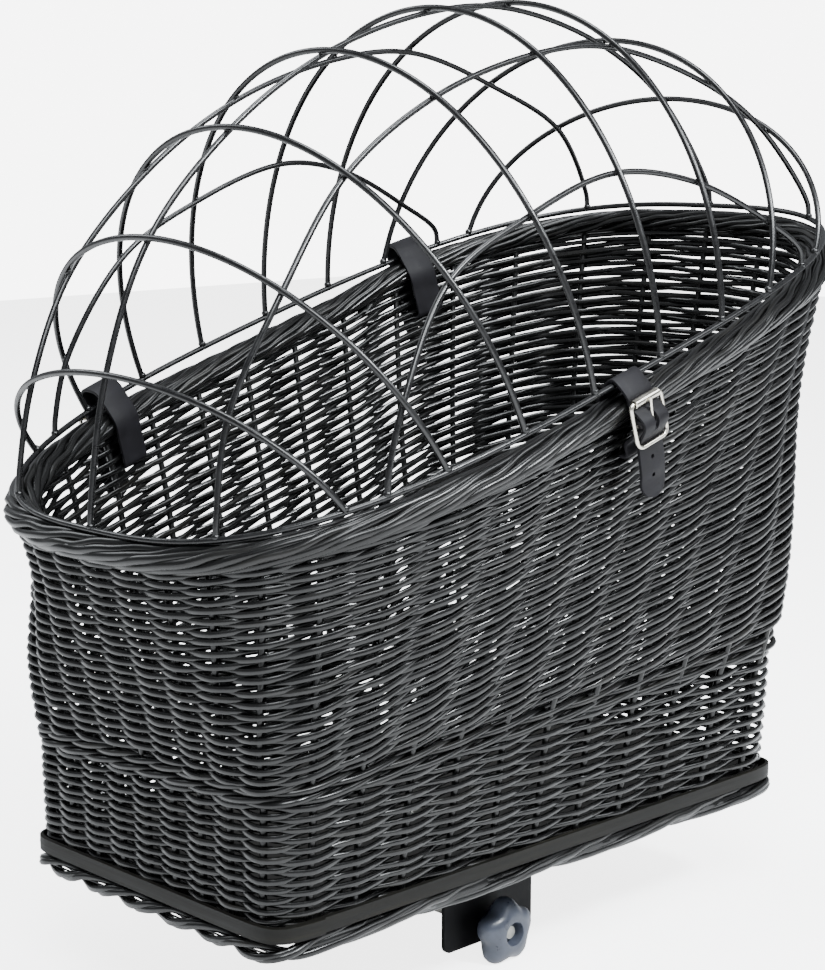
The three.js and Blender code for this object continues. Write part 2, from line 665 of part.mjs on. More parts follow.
function buckleRoller() {
  const bore = BUCKLE_WIRE_RADIUS + 1.5 * SEAT;
  const profile = [[bore, -1], [ROLLER_RADIUS, -1], [ROLLER_RADIUS, 1], [bore, 1]]
    .map(([radius, end]) => new THREE.Vector2(radius, (end * ROLLER_LENGTH) / 2));
  profile.push(profile[0].clone());
  const straight = 2 * (STRAP_WIDTH / 2 + BUCKLE_SIDE_CLEARANCE + BUCKLE_WIRE_RADIUS - BUCKLE_CORNER);
  const shrink = Math.min(1, straight / ROLLER_LENGTH);
  return new THREE.LatheGeometry(profile, 12).scale(1, shrink, 1)
    .rotateZ(Math.PI / 2).translate(0, BUCKLE_OUTSET, rollerHeight);
}

function bucklePin() {
  const eye = BUCKLE_WIRE_RADIUS + PRONG_CLEARANCE + PRONG_RADIUS;
  const ring = Array.from({ length: 12 }, (_, i) => {
    const angle = (2 * Math.PI * i) / 12;
    return new THREE.Vector3(0, BUCKLE_OUTSET + eye * Math.cos(angle), barHeight + eye * Math.sin(angle));
  });
  const tip = ROLLER_RADIUS + SEAT + PRONG_RADIUS;
  const shaft = new THREE.CatmullRomCurve3([
    new THREE.Vector3(0, BUCKLE_OUTSET + eye, barHeight),
    new THREE.Vector3(0, BUCKLE_OUTSET + (3 * eye + tip) / 4, barHeight + BUCKLE_PITCH / 2),
    new THREE.Vector3(0, BUCKLE_OUTSET + tip, rollerHeight + PRONG_RADIUS),
  ]);
  return joinAll([
    closedWire(ring, PRONG_RADIUS, WIRE_SIDES, new THREE.Vector3(1, 0, 0)),
    wireBody(shaft, PRONG_RADIUS, 5),
  ]);
}

const straps = [
  { name: 'closing', station: CLOSING_STATION, side: -1, slack: 0 },
  { name: 'hinge_low', station: HINGE_STATIONS[0], side: 1, slack: HINGE_OUTSET },
  { name: 'hinge_high', station: HINGE_STATIONS[1], side: 1, slack: HINGE_OUTSET },
];
const slots = straps.map(({ name, station, side, slack }) => {
  const frame = strapFrame(station, side);
  const ringUp = ringLift(station) * rimCosine;
  const strap = cutAll(strapBody(strapPath(ringUp, slack)), strapCuts());
  addPart(`strap_${name}`, strap.applyMatrix4(frame), FINISH.leather);
  addPart(`buckle_frame_${name}`, buckleFrame().applyMatrix4(frame), FINISH.nickel);
  addPart(`buckle_roller_${name}`, buckleRoller().applyMatrix4(frame), FINISH.nickel);
  addPart(`buckle_pin_${name}`, bucklePin().applyMatrix4(frame), FINISH.nickel);
  const halfWidth = STRAP_WIDTH / 2 + STRAP_SLOT_CLEARANCE;
  const halfHeight = STRAP_THICKNESS / 2 + STRAP_SLOT_CLEARANCE;
  return box(
    new THREE.Vector3(-halfWidth, -2 * BORDER_HALF_WIDTH, -STRAP_SLOT_DROP - halfHeight),
    new THREE.Vector3(halfWidth, BORDER_HALF_WIDTH, -STRAP_SLOT_DROP + halfHeight + 2 * STRAP_THICKNESS),
  ).applyMatrix4(frame);
});
addPart('wall_upper', cutAll(upperWall, slots), FINISH.willow);

// Carrier clamp: saddle plate with the far jaw, sliding near jaw, rod, nut, washer and star knob
const saddleTop = floorLow - SEAT;
const saddleLow = saddleTop - PLATE_THICKNESS;
const legTop = saddleLow - SEAT;
const legLow = legTop - PLATE_THICKNESS;
const jawFace = CLAMP_SPAN / 2;
const rodHole = () => bar(ROD_RADIUS + HOLE_CLEARANCE, -CLAMP_SPAN, CLAMP_SPAN, 0, -ROD_DROP, 16);

function jawPlate(top, near, far) {
  const half = CLAMP_WIDTH / 2;
  const shape = new THREE.Shape();
  shape.moveTo(-half, top);
  shape.lineTo(-half, -CLAMP_DROP + CLAMP_CORNER);
  shape.absarc(-half + CLAMP_CORNER, -CLAMP_DROP + CLAMP_CORNER, CLAMP_CORNER, Math.PI, 1.5 * Math.PI, false);
  shape.absarc(half - CLAMP_CORNER, -CLAMP_DROP + CLAMP_CORNER, CLAMP_CORNER, 1.5 * Math.PI, 2 * Math.PI, false);
  shape.lineTo(half, top);
  return new THREE.ExtrudeGeometry(shape, { depth: far - near, bevelEnabled: false, curveSegments: 5 })
    .rotateX(Math.PI / 2).translate(0, far, 0);
}

function studBody(x) {
  const head = legLow - SEAT;
  return joinAll([
    bar(STUD_RADIUS, head - STUD_HEAD_HEIGHT / 2, saddleLow + PLATE_THICKNESS / 2, x, -STUD_OFFSET, 12, true),
    bar(STUD_HEAD_RADIUS, head - STUD_HEAD_HEIGHT, head, x, -STUD_OFFSET, 12, true),
  ]);
}

const studs = [-1, 1].map((side) => (side * STUD_SPACING) / 2);
const saddlePlate = box(
  new THREE.Vector3(-CLAMP_WIDTH / 2, -SADDLE_NEAR_REACH, saddleLow),
  new THREE.Vector3(CLAMP_WIDTH / 2, jawFace + PLATE_THICKNESS, saddleTop),
);
addPart('clamp_saddle', cutAll(
  joinAll([saddlePlate, jawPlate(saddleTop - SEAT, jawFace, jawFace + PLATE_THICKNESS), ...studs.map(studBody)]),
  [rodHole(), ...boltPlaces.map(([x, y]) => bar(BOLT_RADIUS + HOLE_CLEARANCE,
    saddleLow - OVERRUN, saddleTop + OVERRUN, x, y, 12, true))],
), FINISH.plate);

const jawLeg = box(
  new THREE.Vector3(-JAW_LEG_WIDTH / 2, -jawFace - PLATE_THICKNESS / 2, legLow),
  new THREE.Vector3(JAW_LEG_WIDTH / 2, -jawFace + JAW_LEG_REACH, legTop),
);
const jawSlots = studs.map((x) => {
  const radius = STUD_RADIUS + HOLE_CLEARANCE;
  const ends = [-STUD_OFFSET - JAW_TRAVEL_IN, -STUD_OFFSET + JAW_TRAVEL_OUT];
  const shape = new THREE.Shape();
  shape.absarc(x, ends[1], radius, 0, Math.PI, false);
  shape.absarc(x, ends[0], radius, Math.PI, 2 * Math.PI, false);
  return new THREE.ExtrudeGeometry(shape, { depth: PLATE_THICKNESS + 2 * OVERRUN, bevelEnabled: false, curveSegments: 8 })
    .translate(0, 0, legLow - OVERRUN);
});
addPart('clamp_jaw', cutAll(
  joinAll([jawLeg, jawPlate(legTop, -jawFace - PLATE_THICKNESS, -jawFace)]),
  [rodHole(), ...jawSlots],
), FINISH.plate);

const nutStart = jawFace + PLATE_THICKNESS + SEAT;
addPart('clamp_rod', bar(ROD_RADIUS, -ROD_NEAR_REACH, nutStart + NUT_HEIGHT + ROD_FAR_STUB, 0, -ROD_DROP, 16), FINISH.zinc);
addPart('clamp_nut', cutAll(
  bar(NUT_ACROSS_CORNERS / 2, nutStart, nutStart + NUT_HEIGHT, 0, -ROD_DROP, 6),
  [bar(ROD_RADIUS + SEAT, nutStart - OVERRUN, nutStart + NUT_HEIGHT + OVERRUN, 0, -ROD_DROP, 16)],
), FINISH.zinc);

const washerStart = -jawFace - PLATE_THICKNESS - SEAT;
const washerEnd = washerStart - WASHER_THICKNESS;
addPart('clamp_washer', cutAll(
  bar(WASHER_RADIUS, washerEnd, washerStart, 0, -ROD_DROP, 20),
  [bar(ROD_RADIUS + HOLE_CLEARANCE, washerEnd - OVERRUN, washerStart + OVERRUN, 0, -ROD_DROP, 16)],
), FINISH.zinc);

// Star knob: a lobed, domed grip round a boss, with the thread's hole right through
function knobBody() {
  const back = washerEnd - SEAT;
  const around = 40;
  const bore = ROD_RADIUS + HOLE_CLEARANCE;
  const profile = [
    [bore, 0, 0], [KNOB_BOSS_RADIUS, 0, 0], [KNOB_BOSS_RADIUS, 0.18, 0], [0.82 * KNOB_RADIUS, 0.24, 0.7],
    [0.97 * KNOB_RADIUS, 0.36, 0.95], [KNOB_RADIUS, 0.55, 1], [0.93 * KNOB_RADIUS, 0.76, 0.9],
    [0.72 * KNOB_RADIUS, 0.92, 0.6], [0.38 * KNOB_RADIUS, 1, 0.1], [bore, 1, 0],
  ];
  const rows = profile.map(([radius, lengthShare, lobe]) => Array.from({ length: around }, (_, i) => {
    const angle = (2 * Math.PI * i) / around;
    const scallop = 1 - KNOB_LOBE_SHARE * lobe * (0.5 - 0.5 * Math.cos(KNOB_LOBES * angle));
    return new THREE.Vector3(radius * scallop * Math.sin(angle), back - KNOB_LENGTH * lengthShare,
      -ROD_DROP + radius * scallop * Math.cos(angle));
  }));
  return loopBody(rows);
}
addPart('clamp_knob', knobBody(), FINISH.knob);

// Floor bolts with domed heads, and their nuts under the saddle
boltPlaces.forEach(([x, y], i) => {
  const headLow = floorHigh + SEAT;
  const nutHigh = saddleLow - SEAT;
  const nutLow = nutHigh - BOLT_NUT_HEIGHT;
  const profile = [
    [0, nutLow - SEAT], [BOLT_RADIUS, nutLow - SEAT], [BOLT_RADIUS, headLow], [BOLT_HEAD_RADIUS, headLow],
    [0.85 * BOLT_HEAD_RADIUS, headLow + 0.6 * BOLT_HEAD_HEIGHT], [0.4 * BOLT_HEAD_RADIUS, headLow + BOLT_HEAD_HEIGHT],
    [0, headLow + BOLT_HEAD_HEIGHT],
  ].map(([radius, height]) => new THREE.Vector2(radius, height));
  addPart(`floor_bolt_${i + 1}`, new THREE.LatheGeometry(profile, 12).rotateX(Math.PI / 2).translate(x, y, 0), FINISH.zinc);
  addPart(`floor_nut_${i + 1}`, cutAll(
    bar(BOLT_NUT_ACROSS_CORNERS / 2, nutLow, nutHigh, x, y, 6, true),
    [bar(BOLT_RADIUS + SEAT, nutLow - OVERRUN, nutHigh + OVERRUN, x, y, 12, true)],
  ), FINISH.zinc);
});

// The part's origin is the middle of its box, at the bottom
const bounds = new THREE.Box3().setFromObject(group);
const middle = bounds.getCenter(new THREE.Vector3());
group.children.forEach((mesh) => mesh.geometry.translate(-middle.x, -middle.y, -bounds.min.z));

export default group;
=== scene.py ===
"""Dog bicycle basket in black dyed willow, with a wire dome, buckled straps and a carrier clamp."""

import logging
import math
from dataclasses import dataclass, field
from enum import Enum, IntEnum
from functools import cached_property
from itertools import product

import bpy
import numpy as np
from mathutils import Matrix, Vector


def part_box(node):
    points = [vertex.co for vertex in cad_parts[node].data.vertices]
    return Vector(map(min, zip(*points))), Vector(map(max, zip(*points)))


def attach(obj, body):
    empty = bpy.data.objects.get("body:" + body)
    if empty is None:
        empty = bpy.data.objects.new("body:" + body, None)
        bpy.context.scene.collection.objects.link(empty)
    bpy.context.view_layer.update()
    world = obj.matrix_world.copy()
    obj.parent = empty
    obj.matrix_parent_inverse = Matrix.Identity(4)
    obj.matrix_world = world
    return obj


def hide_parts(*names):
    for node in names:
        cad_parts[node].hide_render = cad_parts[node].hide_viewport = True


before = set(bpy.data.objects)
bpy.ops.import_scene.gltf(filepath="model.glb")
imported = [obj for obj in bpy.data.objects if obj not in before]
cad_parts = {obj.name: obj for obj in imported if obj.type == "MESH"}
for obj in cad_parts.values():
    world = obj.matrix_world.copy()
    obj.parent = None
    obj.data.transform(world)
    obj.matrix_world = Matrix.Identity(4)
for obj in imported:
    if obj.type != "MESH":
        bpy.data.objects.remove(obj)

LOG = logging.getLogger("basket")
MM = 0.001
LENGTHWISE, CROSSWISE, UP = np.eye(3)
OUTLINE_SAMPLES = 5761
NOISE_BAND = (0.3, 0.7)
BOX_SIDES = ((0, 1, 3, 2), (4, 6, 7, 5), (0, 4, 5, 1), (2, 3, 7, 6), (0, 2, 6, 4), (1, 5, 7, 3))

Array = np.ndarray
Node = bpy.types.Node
Piece = bpy.types.Object
Socket = bpy.types.NodeSocket
Material = bpy.types.Material
Finishes = dict[str, Material]
Pair = tuple[float, float]
Place = tuple[float, float, float]
Row = tuple[float, ...]


class Zone(Enum):
    """Part of the woven wall, below or above the waling."""

    LOWER = "lower"
    UPPER = "upper"


class Side(Enum):
    """Side of the basket that a strap hangs on."""

    NEAR = -1
    FAR = 1


class Seed(IntEnum):
    """Start of each bundle's random draws, so that every run lays the same rods."""

    STAKES = 11
    LOWER = 12
    UPPER = 13
    WALING = 14
    RIM = 15
    FOOT = 16
    STRIP = 17
    RING = 30
    WELDS = 31
    HOOPS = 40
    LONG_WIRES = 60
    BUCKLE = 70
    PIN = 72
    THREAD = 80


# Colours and nodes


def shade(code: str) -> Row:
    """Turns six hex digits of an sRGB colour into linear red, green, blue and alpha."""
    parts = [int(code[i:i + 2], 16) / 255 for i in (0, 2, 4)]
    return (*(p / 12.92 if p <= 0.04045 else ((p + 0.055) / 1.055) ** 2.4 for p in parts), 1.0)


def configure(thing: object, **settings: object) -> None:
    """Sets attributes of a Blender object.

    Args:
        thing: the object, light, modifier or node.
        settings: attribute names and their values.
    """
    for key, value in settings.items():
        setattr(thing, key, value)


def feed(node: Node, inputs: dict) -> None:
    """Gives a node's inputs their values and links.

    Args:
        node: the node.
        inputs: input name or number to a value, or to another node's output.
    """
    for key, value in inputs.items():
        if isinstance(value, Socket):
            node.id_data.links.new(value, node.inputs[key])
        else:
            node.inputs[key].default_value = value


def add_node(tree: bpy.types.NodeTree, kind: str, inputs: dict | None = None, out: int | str = 0,
             **settings: str) -> Socket:
    """Adds one node with its settings and links.

    Args:
        tree: node tree that it goes in.
        kind: Blender's name for the node.
        inputs: as feed() takes them.
        out: name or number of the output that is wanted.
        settings: attributes to set on the node.

    Returns:
        That output.
    """
    node = tree.nodes.new(kind)
    configure(node, **settings)
    feed(node, inputs or {})
    return node.outputs[out]


def blank_material(name: str) -> tuple[Material, Node]:
    """Makes a material with a bare shader.

    Args:
        name: the real material's name.

    Returns:
        The material and its shader.
    """
    material = bpy.data.materials.new(name)
    material.use_nodes = True
    return material, material.node_tree.nodes["Principled BSDF"]


def coat(shader: Node, light: Socket, stops: Row, colours: tuple[str, ...], gloss: Socket, rough: Pair,
         relief: Socket, strength: float, relief_mm: float) -> None:
    """Gives a shader its colour, gloss and relief.

    Args:
        shader: the shader.
        light: how light the surface is.
        stops: the lightness at which each colour stands.
        colours: hex colours, one for each stop.
        gloss: noise that the roughness follows.
        rough: roughness where that noise is low and where it is high.
        relief: noise that the bumps follow.
        strength: how plainly they show.
        relief_mm: their height.
    """
    tree = shader.id_data
    colour = add_node(tree, "ShaderNodeValToRGB", {0: light})
    marks = colour.node.color_ramp.elements
    while len(marks) < len(stops):
        marks.new(0.5)
    for mark, stop, code in zip(marks, stops, colours):
        configure(mark, position=stop, color=shade(code))
    follow = add_node(tree, "ShaderNodeMapRange", {
        "Value": gloss, "From Min": NOISE_BAND[0], "From Max": NOISE_BAND[1],
        "To Min": rough[0], "To Max": rough[1]})
    bump = add_node(tree, "ShaderNodeBump", {
        "Height": relief, "Strength": strength, "Distance": relief_mm * MM})
    feed(shader, {"Base Color": colour, "Roughness": follow, "Normal": bump})


@dataclass(frozen=True)
class WillowFinish:
    """Willow rods dyed black under thin varnish: a satin skin, lengthwise grain and brown showing through."""

    name: str = "black dyed willow"
    colours: tuple[str, ...] = ("020202", "090909", "1b1a17")
    grain_mm: float = 0.9
    streak_mm: float = 24.0
    roughness: float = 0.22
    specular: float = 0.42
    relief_mm: float = 0.14
    relief_strength: float = 0.2
    rod_gap: float = 57.0
    patch_scale: float = 0.35
    # How much the grain, the rod's own tint and the patches lighten it
    shares: Row = (0.5, 0.2, 0.25)
    stops: Row = (0.36, 0.52, 0.74)
    smoother: float = 0.06
    rougher: float = 0.1

    def make(self) -> Material:
        """Builds the material from a piece's lengthwise map and each rod's own tint.

        Returns:
            The material.
        """
        material, shader = blank_material(self.name)
        tree = material.node_tree
        lay = add_node(tree, "ShaderNodeUVMap", uv_map="lay")
        tint = add_node(tree, "ShaderNodeAttribute", out="Fac", attribute_name="tint")
        drawn = add_node(tree, "ShaderNodeMapping", {
            "Vector": lay, "Scale": (1 / self.streak_mm, 1 / self.grain_mm, 1.0)})
        # The tint sets how deep in the noise a rod lies, so that no two rods share their grain
        depth = add_node(tree, "ShaderNodeCombineXYZ", {"Z": tint})
        apart = add_node(tree, "ShaderNodeVectorMath", {0: depth, 1: (0.0, 0.0, self.rod_gap)},
                         operation="MULTIPLY")
        space = add_node(tree, "ShaderNodeVectorMath", {0: drawn, 1: apart}, operation="ADD")
        grain = add_node(tree, "ShaderNodeTexNoise", {
            "Vector": space, "Scale": 1.0, "Detail": 4.0, "Roughness": 0.6}, "Fac")
        patch = add_node(tree, "ShaderNodeTexNoise", {
            "Vector": space, "Scale": self.patch_scale, "Detail": 2.0, "Roughness": 0.5}, "Fac")
        light = 0.0
        for part, share in zip((grain, tint, patch), self.shares):
            light = add_node(tree, "ShaderNodeMath", {0: part, 1: share, 2: light}, operation="MULTIPLY_ADD")
        coat(shader, light, self.stops, self.colours, grain,
             (self.roughness - self.smoother, self.roughness + self.rougher),
             grain, self.relief_strength, self.relief_mm)
        feed(shader, {"Specular IOR Level": self.specular})
        return material


@dataclass(frozen=True)
class SurfaceFinish:
    """A finish drawn on Object coordinates: two colours mottled together, with a fine relief."""

    name: str
    colours: tuple[str, ...]
    pattern_mm: float
    relief_mm: float
    roughness: float
    metallic: float = 0.0
    stretch: Place = (1.0, 1.0, 1.0)
    grit_mm: float = 0.6
    spread: float = 0.08
    specular: float = 0.5
    stops: Row = (0.32, 0.68)
    relief_strength: float = 0.5

    def make(self) -> Material:
        """Builds the material.

        Returns:
            The material.
        """
        material, shader = blank_material(self.name)
        tree = material.node_tree
        place = add_node(tree, "ShaderNodeTexCoord", out="Object")
        space = add_node(tree, "ShaderNodeMapping", {"Vector": place, "Scale": self.stretch})
        mottle = add_node(tree, "ShaderNodeTexNoise", {
            "Vector": space, "Scale": 1 / (self.pattern_mm * MM), "Detail": 5.0, "Roughness": 0.6}, "Fac")
        grit = add_node(tree, "ShaderNodeTexNoise", {
            "Vector": space, "Scale": 1 / (self.grit_mm * MM), "Detail": 2.0, "Roughness": 0.5}, "Fac")
        coat(shader, mottle, self.stops, self.colours, mottle,
             (self.roughness - self.spread, self.roughness + self.spread),
             grit, self.relief_strength, self.relief_mm)
        feed(shader, {"Metallic": self.metallic, "Specular IOR Level": self.specular})
        return material


@dataclass(frozen=True)
class FinishSet:
    """Every finish on the basket."""

    # Thin varnish on dyed rods: a narrow line of light along each rod, and near black between the rods
    weaver: WillowFinish = WillowFinish()
    # Thicker unsplit rods: a broader, duller sheen than the weavers have, over a longer grain
    rods: WillowFinish = WillowFinish(
        "black dyed willow rods", grain_mm=1.6, streak_mm=60.0, roughness=0.27, specular=0.36, relief_mm=0.1)
    # The split side of a rod, without varnish: flat brown-black with open grain and hardly a highlight
    strip: WillowFinish = WillowFinish(
        "split willow strip", ("040403", "0c0b08", "1e1c15"), 1.0, 50.0, 0.5, 0.16, 0.4)
    # Stain soaked in along the grain: a dull dark brown between the rods when one looks in from above
    plywood: SurfaceFinish = SurfaceFinish(
        "stained plywood", ("0b0a08", "171410"), 9.0, 0.1, 0.7, stretch=(0.12, 1.0, 1.0))
    # Powder coat: an even black whose faint orange peel softens the line of light along each wire
    wire: SurfaceFinish = SurfaceFinish(
        "black powder coated wire", ("030304", "060607"), 5.0, 0.008, 0.3, grit_mm=1.2)
    # Saddle leather: charcoal with a cool cast, with pores and no sharp highlight
    leather: SurfaceFinish = SurfaceFinish(
        "charcoal saddle leather", ("0b0a0d", "131216"), 7.0, 0.12, 0.62, grit_mm=0.9, specular=0.2)
    # Polished nickel: a warm bright metal that mirrors the pale floor, the lightest thing on the basket
    nickel: SurfaceFinish = SurfaceFinish("nickel plated steel", ("c9c4b8", "e0dcd0"), 6.0, 0.01, 0.24, 1.0)
    # Paint: a nearly matt black that shows the plates by their edges only
    paint: SurfaceFinish = SurfaceFinish(
        "black painted steel", ("040405", "08080a"), 12.0, 0.03, 0.5, specular=0.12)
    # Zinc: a cloudy grey metal, bright on the crests of the thread
    zinc: SurfaceFinish = SurfaceFinish("zinc plated steel", ("8d8d89", "a9a9a4"), 3.0, 0.02, 0.38, 1.0)
    # Moulded plastic: blue-grey with a fine grain, and a soft highlight on each lobe
    knob: SurfaceFinish = SurfaceFinish(
        "moulded polyamide", ("343842", "434854"), 8.0, 0.05, 0.34, grit_mm=0.7)
    # Card: an even white without shine, so that the basket seems to stand free
    floor: SurfaceFinish = SurfaceFinish("matt studio card", ("f0f0f0", "f4f4f4"), 400.0, 0.0, 0.85)

    def build(self) -> Finishes:
        """Makes each finish once, by field name."""
        return {key: getattr(self, key).make() for key in self.__dataclass_fields__}


# Lines and outlines


def unit(vectors: Array) -> Array:
    """Scales each vector to length one."""
    return vectors / np.maximum(np.linalg.norm(vectors, axis=-1, keepdims=True), 1e-9)


def totals(steps: Array) -> Array:
    """Sum so far, from nothing before the first step to the whole after the last."""
    return np.concatenate([[0], np.cumsum(steps)])


def ease(share: Array) -> Array:
    """Goes from 0 to 1 with a soft start and a soft end."""
    return share * share * (3 - 2 * share)


def mix(first: Array | float, last: Array | float, share: Array | float) -> Array | float:
    """Goes evenly from the first value to the last."""
    return first + (last - first) * share


def falloff(x: Array, middle: float, blur: float) -> Array:
    """Goes smoothly from 1 well below a middle to 0 well above it."""
    return 1 / (1 + np.exp((x - middle) / blur))


def circle(count: int) -> Array:
    """Evenly spaced points of a circle of radius one, of shape (count, 2)."""
    angle = np.linspace(0, 2 * np.pi, count, endpoint=False)
    return np.stack([np.cos(angle), np.sin(angle)], axis=1)


def superellipse(half: Array, power: float, shift: float, count: int) -> Array:
    """Outline of the basket at one level, with points spaced evenly along it.

    Args:
        half: reach along X and along Y in mm.
        power: 2 is an ellipse, and a large one is nearly a rectangle.
        shift: middle along X in mm.
        count: how many points, the first one repeated at the end as well.

    Returns:
        Points of shape (count + 1, 2).
    """
    angle = np.linspace(0, 2 * np.pi, OUTLINE_SAMPLES)
    c, s = np.cos(angle), np.sin(angle)
    x = shift + half[0] * np.sign(c) * np.abs(c) ** (2 / power)
    y = half[1] * np.sign(s) * np.abs(s) ** (2 / power)
    reach = totals(np.hypot(np.diff(x), np.diff(y)))
    wanted = np.linspace(0, reach[-1], count + 1)
    return np.stack([np.interp(wanted, reach, x), np.interp(wanted, reach, y)], axis=1)


def outward(outline: Array) -> Array:
    """Level direction square to a closed outline, of shape (n, 3)."""
    run = np.roll(outline, -1, axis=0) - np.roll(outline, 1, axis=0)
    return np.column_stack([unit(np.stack([run[:, 1], -run[:, 0]], axis=1)), np.zeros(len(outline))])


def smooth_noise(rng: np.random.Generator, places: Array, waves: tuple[int, ...]) -> Array:
    """A gentle repeatable wobble, about one at most.

    Args:
        rng: random draws.
        places: where it is wanted, in turns.
        waves: how many whole waves each part of it has in a turn.

    Returns:
        One value for each place.
    """
    total = np.zeros_like(places)
    for wave in waves:
        total += rng.uniform(0.3, 1) * np.sin(2 * np.pi * (wave * places + rng.uniform()))
    return total / len(waves)


def curve_through(marks: list[Array], per_span: int) -> Array:
    """A smooth line through points, by centripetal Catmull-Rom spans.

    Args:
        marks: the points.
        per_span: steps from each to the next.

    Returns:
        Points of shape (n, 3).
    """
    points = [2 * marks[0] - marks[1], *marks, 2 * marks[-1] - marks[-2]]
    line = []
    for span in zip(points, points[1:], points[2:], points[3:]):
        knots = totals([max(np.linalg.norm(b - a), 1e-6) ** 0.5 for a, b in zip(span, span[1:])])
        for t in np.linspace(knots[1], knots[2], per_span, endpoint=False):
            level = list(span)
            for pairs in (((0, 1), (1, 2), (2, 3)), ((0, 2), (1, 3)), ((1, 2),)):
                level = [(knots[j] - t) / (knots[j] - knots[i]) * a
                         + (t - knots[i]) / (knots[j] - knots[i]) * b
                         for (i, j), a, b in zip(pairs, level, level[1:])]
            line.append(level[0])
    return np.array([*line, marks[-1]])


# Pieces


def pick_only(piece: Piece) -> None:
    """Selects one object and makes it active.

    Args:
        piece: the object.
    """
    bpy.ops.object.select_all(action="DESELECT")
    piece.select_set(True)
    bpy.context.view_layer.objects.active = piece


def link_new(name: str, data: bpy.types.ID) -> Piece:
    """Puts data in the scene as an object.

    Args:
        name: the object's name.
        data: its mesh, light or camera.

    Returns:
        The object.
    """
    thing = bpy.data.objects.new(name, data)
    bpy.context.scene.collection.objects.link(thing)
    return thing


def add_piece(name: str, points: Array, faces: list) -> Piece:
    """Makes an object at the origin from points and faces.

    Args:
        name: the object's name.
        points: corners in mm, of shape (n, 3).
        faces: numbers of the corners of each face.

    Returns:
        The object.
    """
    mesh = bpy.data.meshes.new(name)
    mesh.from_pydata((points * MM).tolist(), [], faces)
    return link_new(name, mesh)


def face_outward(piece: Piece) -> None:
    """Turns every face of a closed skin to the outside.

    Args:
        piece: the skin.
    """
    pick_only(piece)
    bpy.ops.object.mode_set(mode="EDIT")
    bpy.ops.mesh.select_all(action="SELECT")
    bpy.ops.mesh.normals_make_consistent(inside=False)
    bpy.ops.object.mode_set(mode="OBJECT")


def ring_skin(name: str, rings: list[Array], closed: bool = True) -> Piece:
    """Joins rings of points into a skin.

    Args:
        name: the object's name.
        rings: the rings in order, in mm, all with as many points.
        closed: whether the last ring joins the first; if not, both ends are capped.

    Returns:
        The object.
    """
    k = len(rings[0])
    faces = []
    for i in range(len(rings) if closed else len(rings) - 1):
        n = (i + 1) % len(rings)
        faces += [(i * k + j, n * k + j, n * k + (j + 1) % k, i * k + (j + 1) % k) for j in range(k)]
    if not closed:
        last = (len(rings) - 1) * k
        faces += [tuple(reversed(range(k))), tuple(range(last, last + k))]
    piece = add_piece(name, np.vstack(rings), faces)
    face_outward(piece)
    return piece


def dress(piece: Piece, material: Material) -> None:
    """Gives a piece one material in place of any that it has.

    Args:
        piece: the piece.
        material: its finish.
    """
    piece.data.materials.clear()
    piece.data.materials.append(material)
    LOG.info("%s: %s", piece.name, material.name)


def complete(piece: Piece, material: Material, angle: float,
             body: str, slot: str, *nodes: str) -> None:
    """Dresses and shades a piece, hangs it on the body that it moves with, and hides the nodes that it stands
    for.

    Args:
        piece: the piece.
        material: its finish.
        angle: edges sharper than this, in degrees, stay sharp.
        body: body that it moves with.
        slot: not used.
        nodes: nodes of the solid model that it stands for.
    """
    dress(piece, material)
    pick_only(piece)
    bpy.ops.object.shade_smooth_by_angle(angle=math.radians(angle))
    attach(piece, body)
    if nodes:
        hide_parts(*nodes)


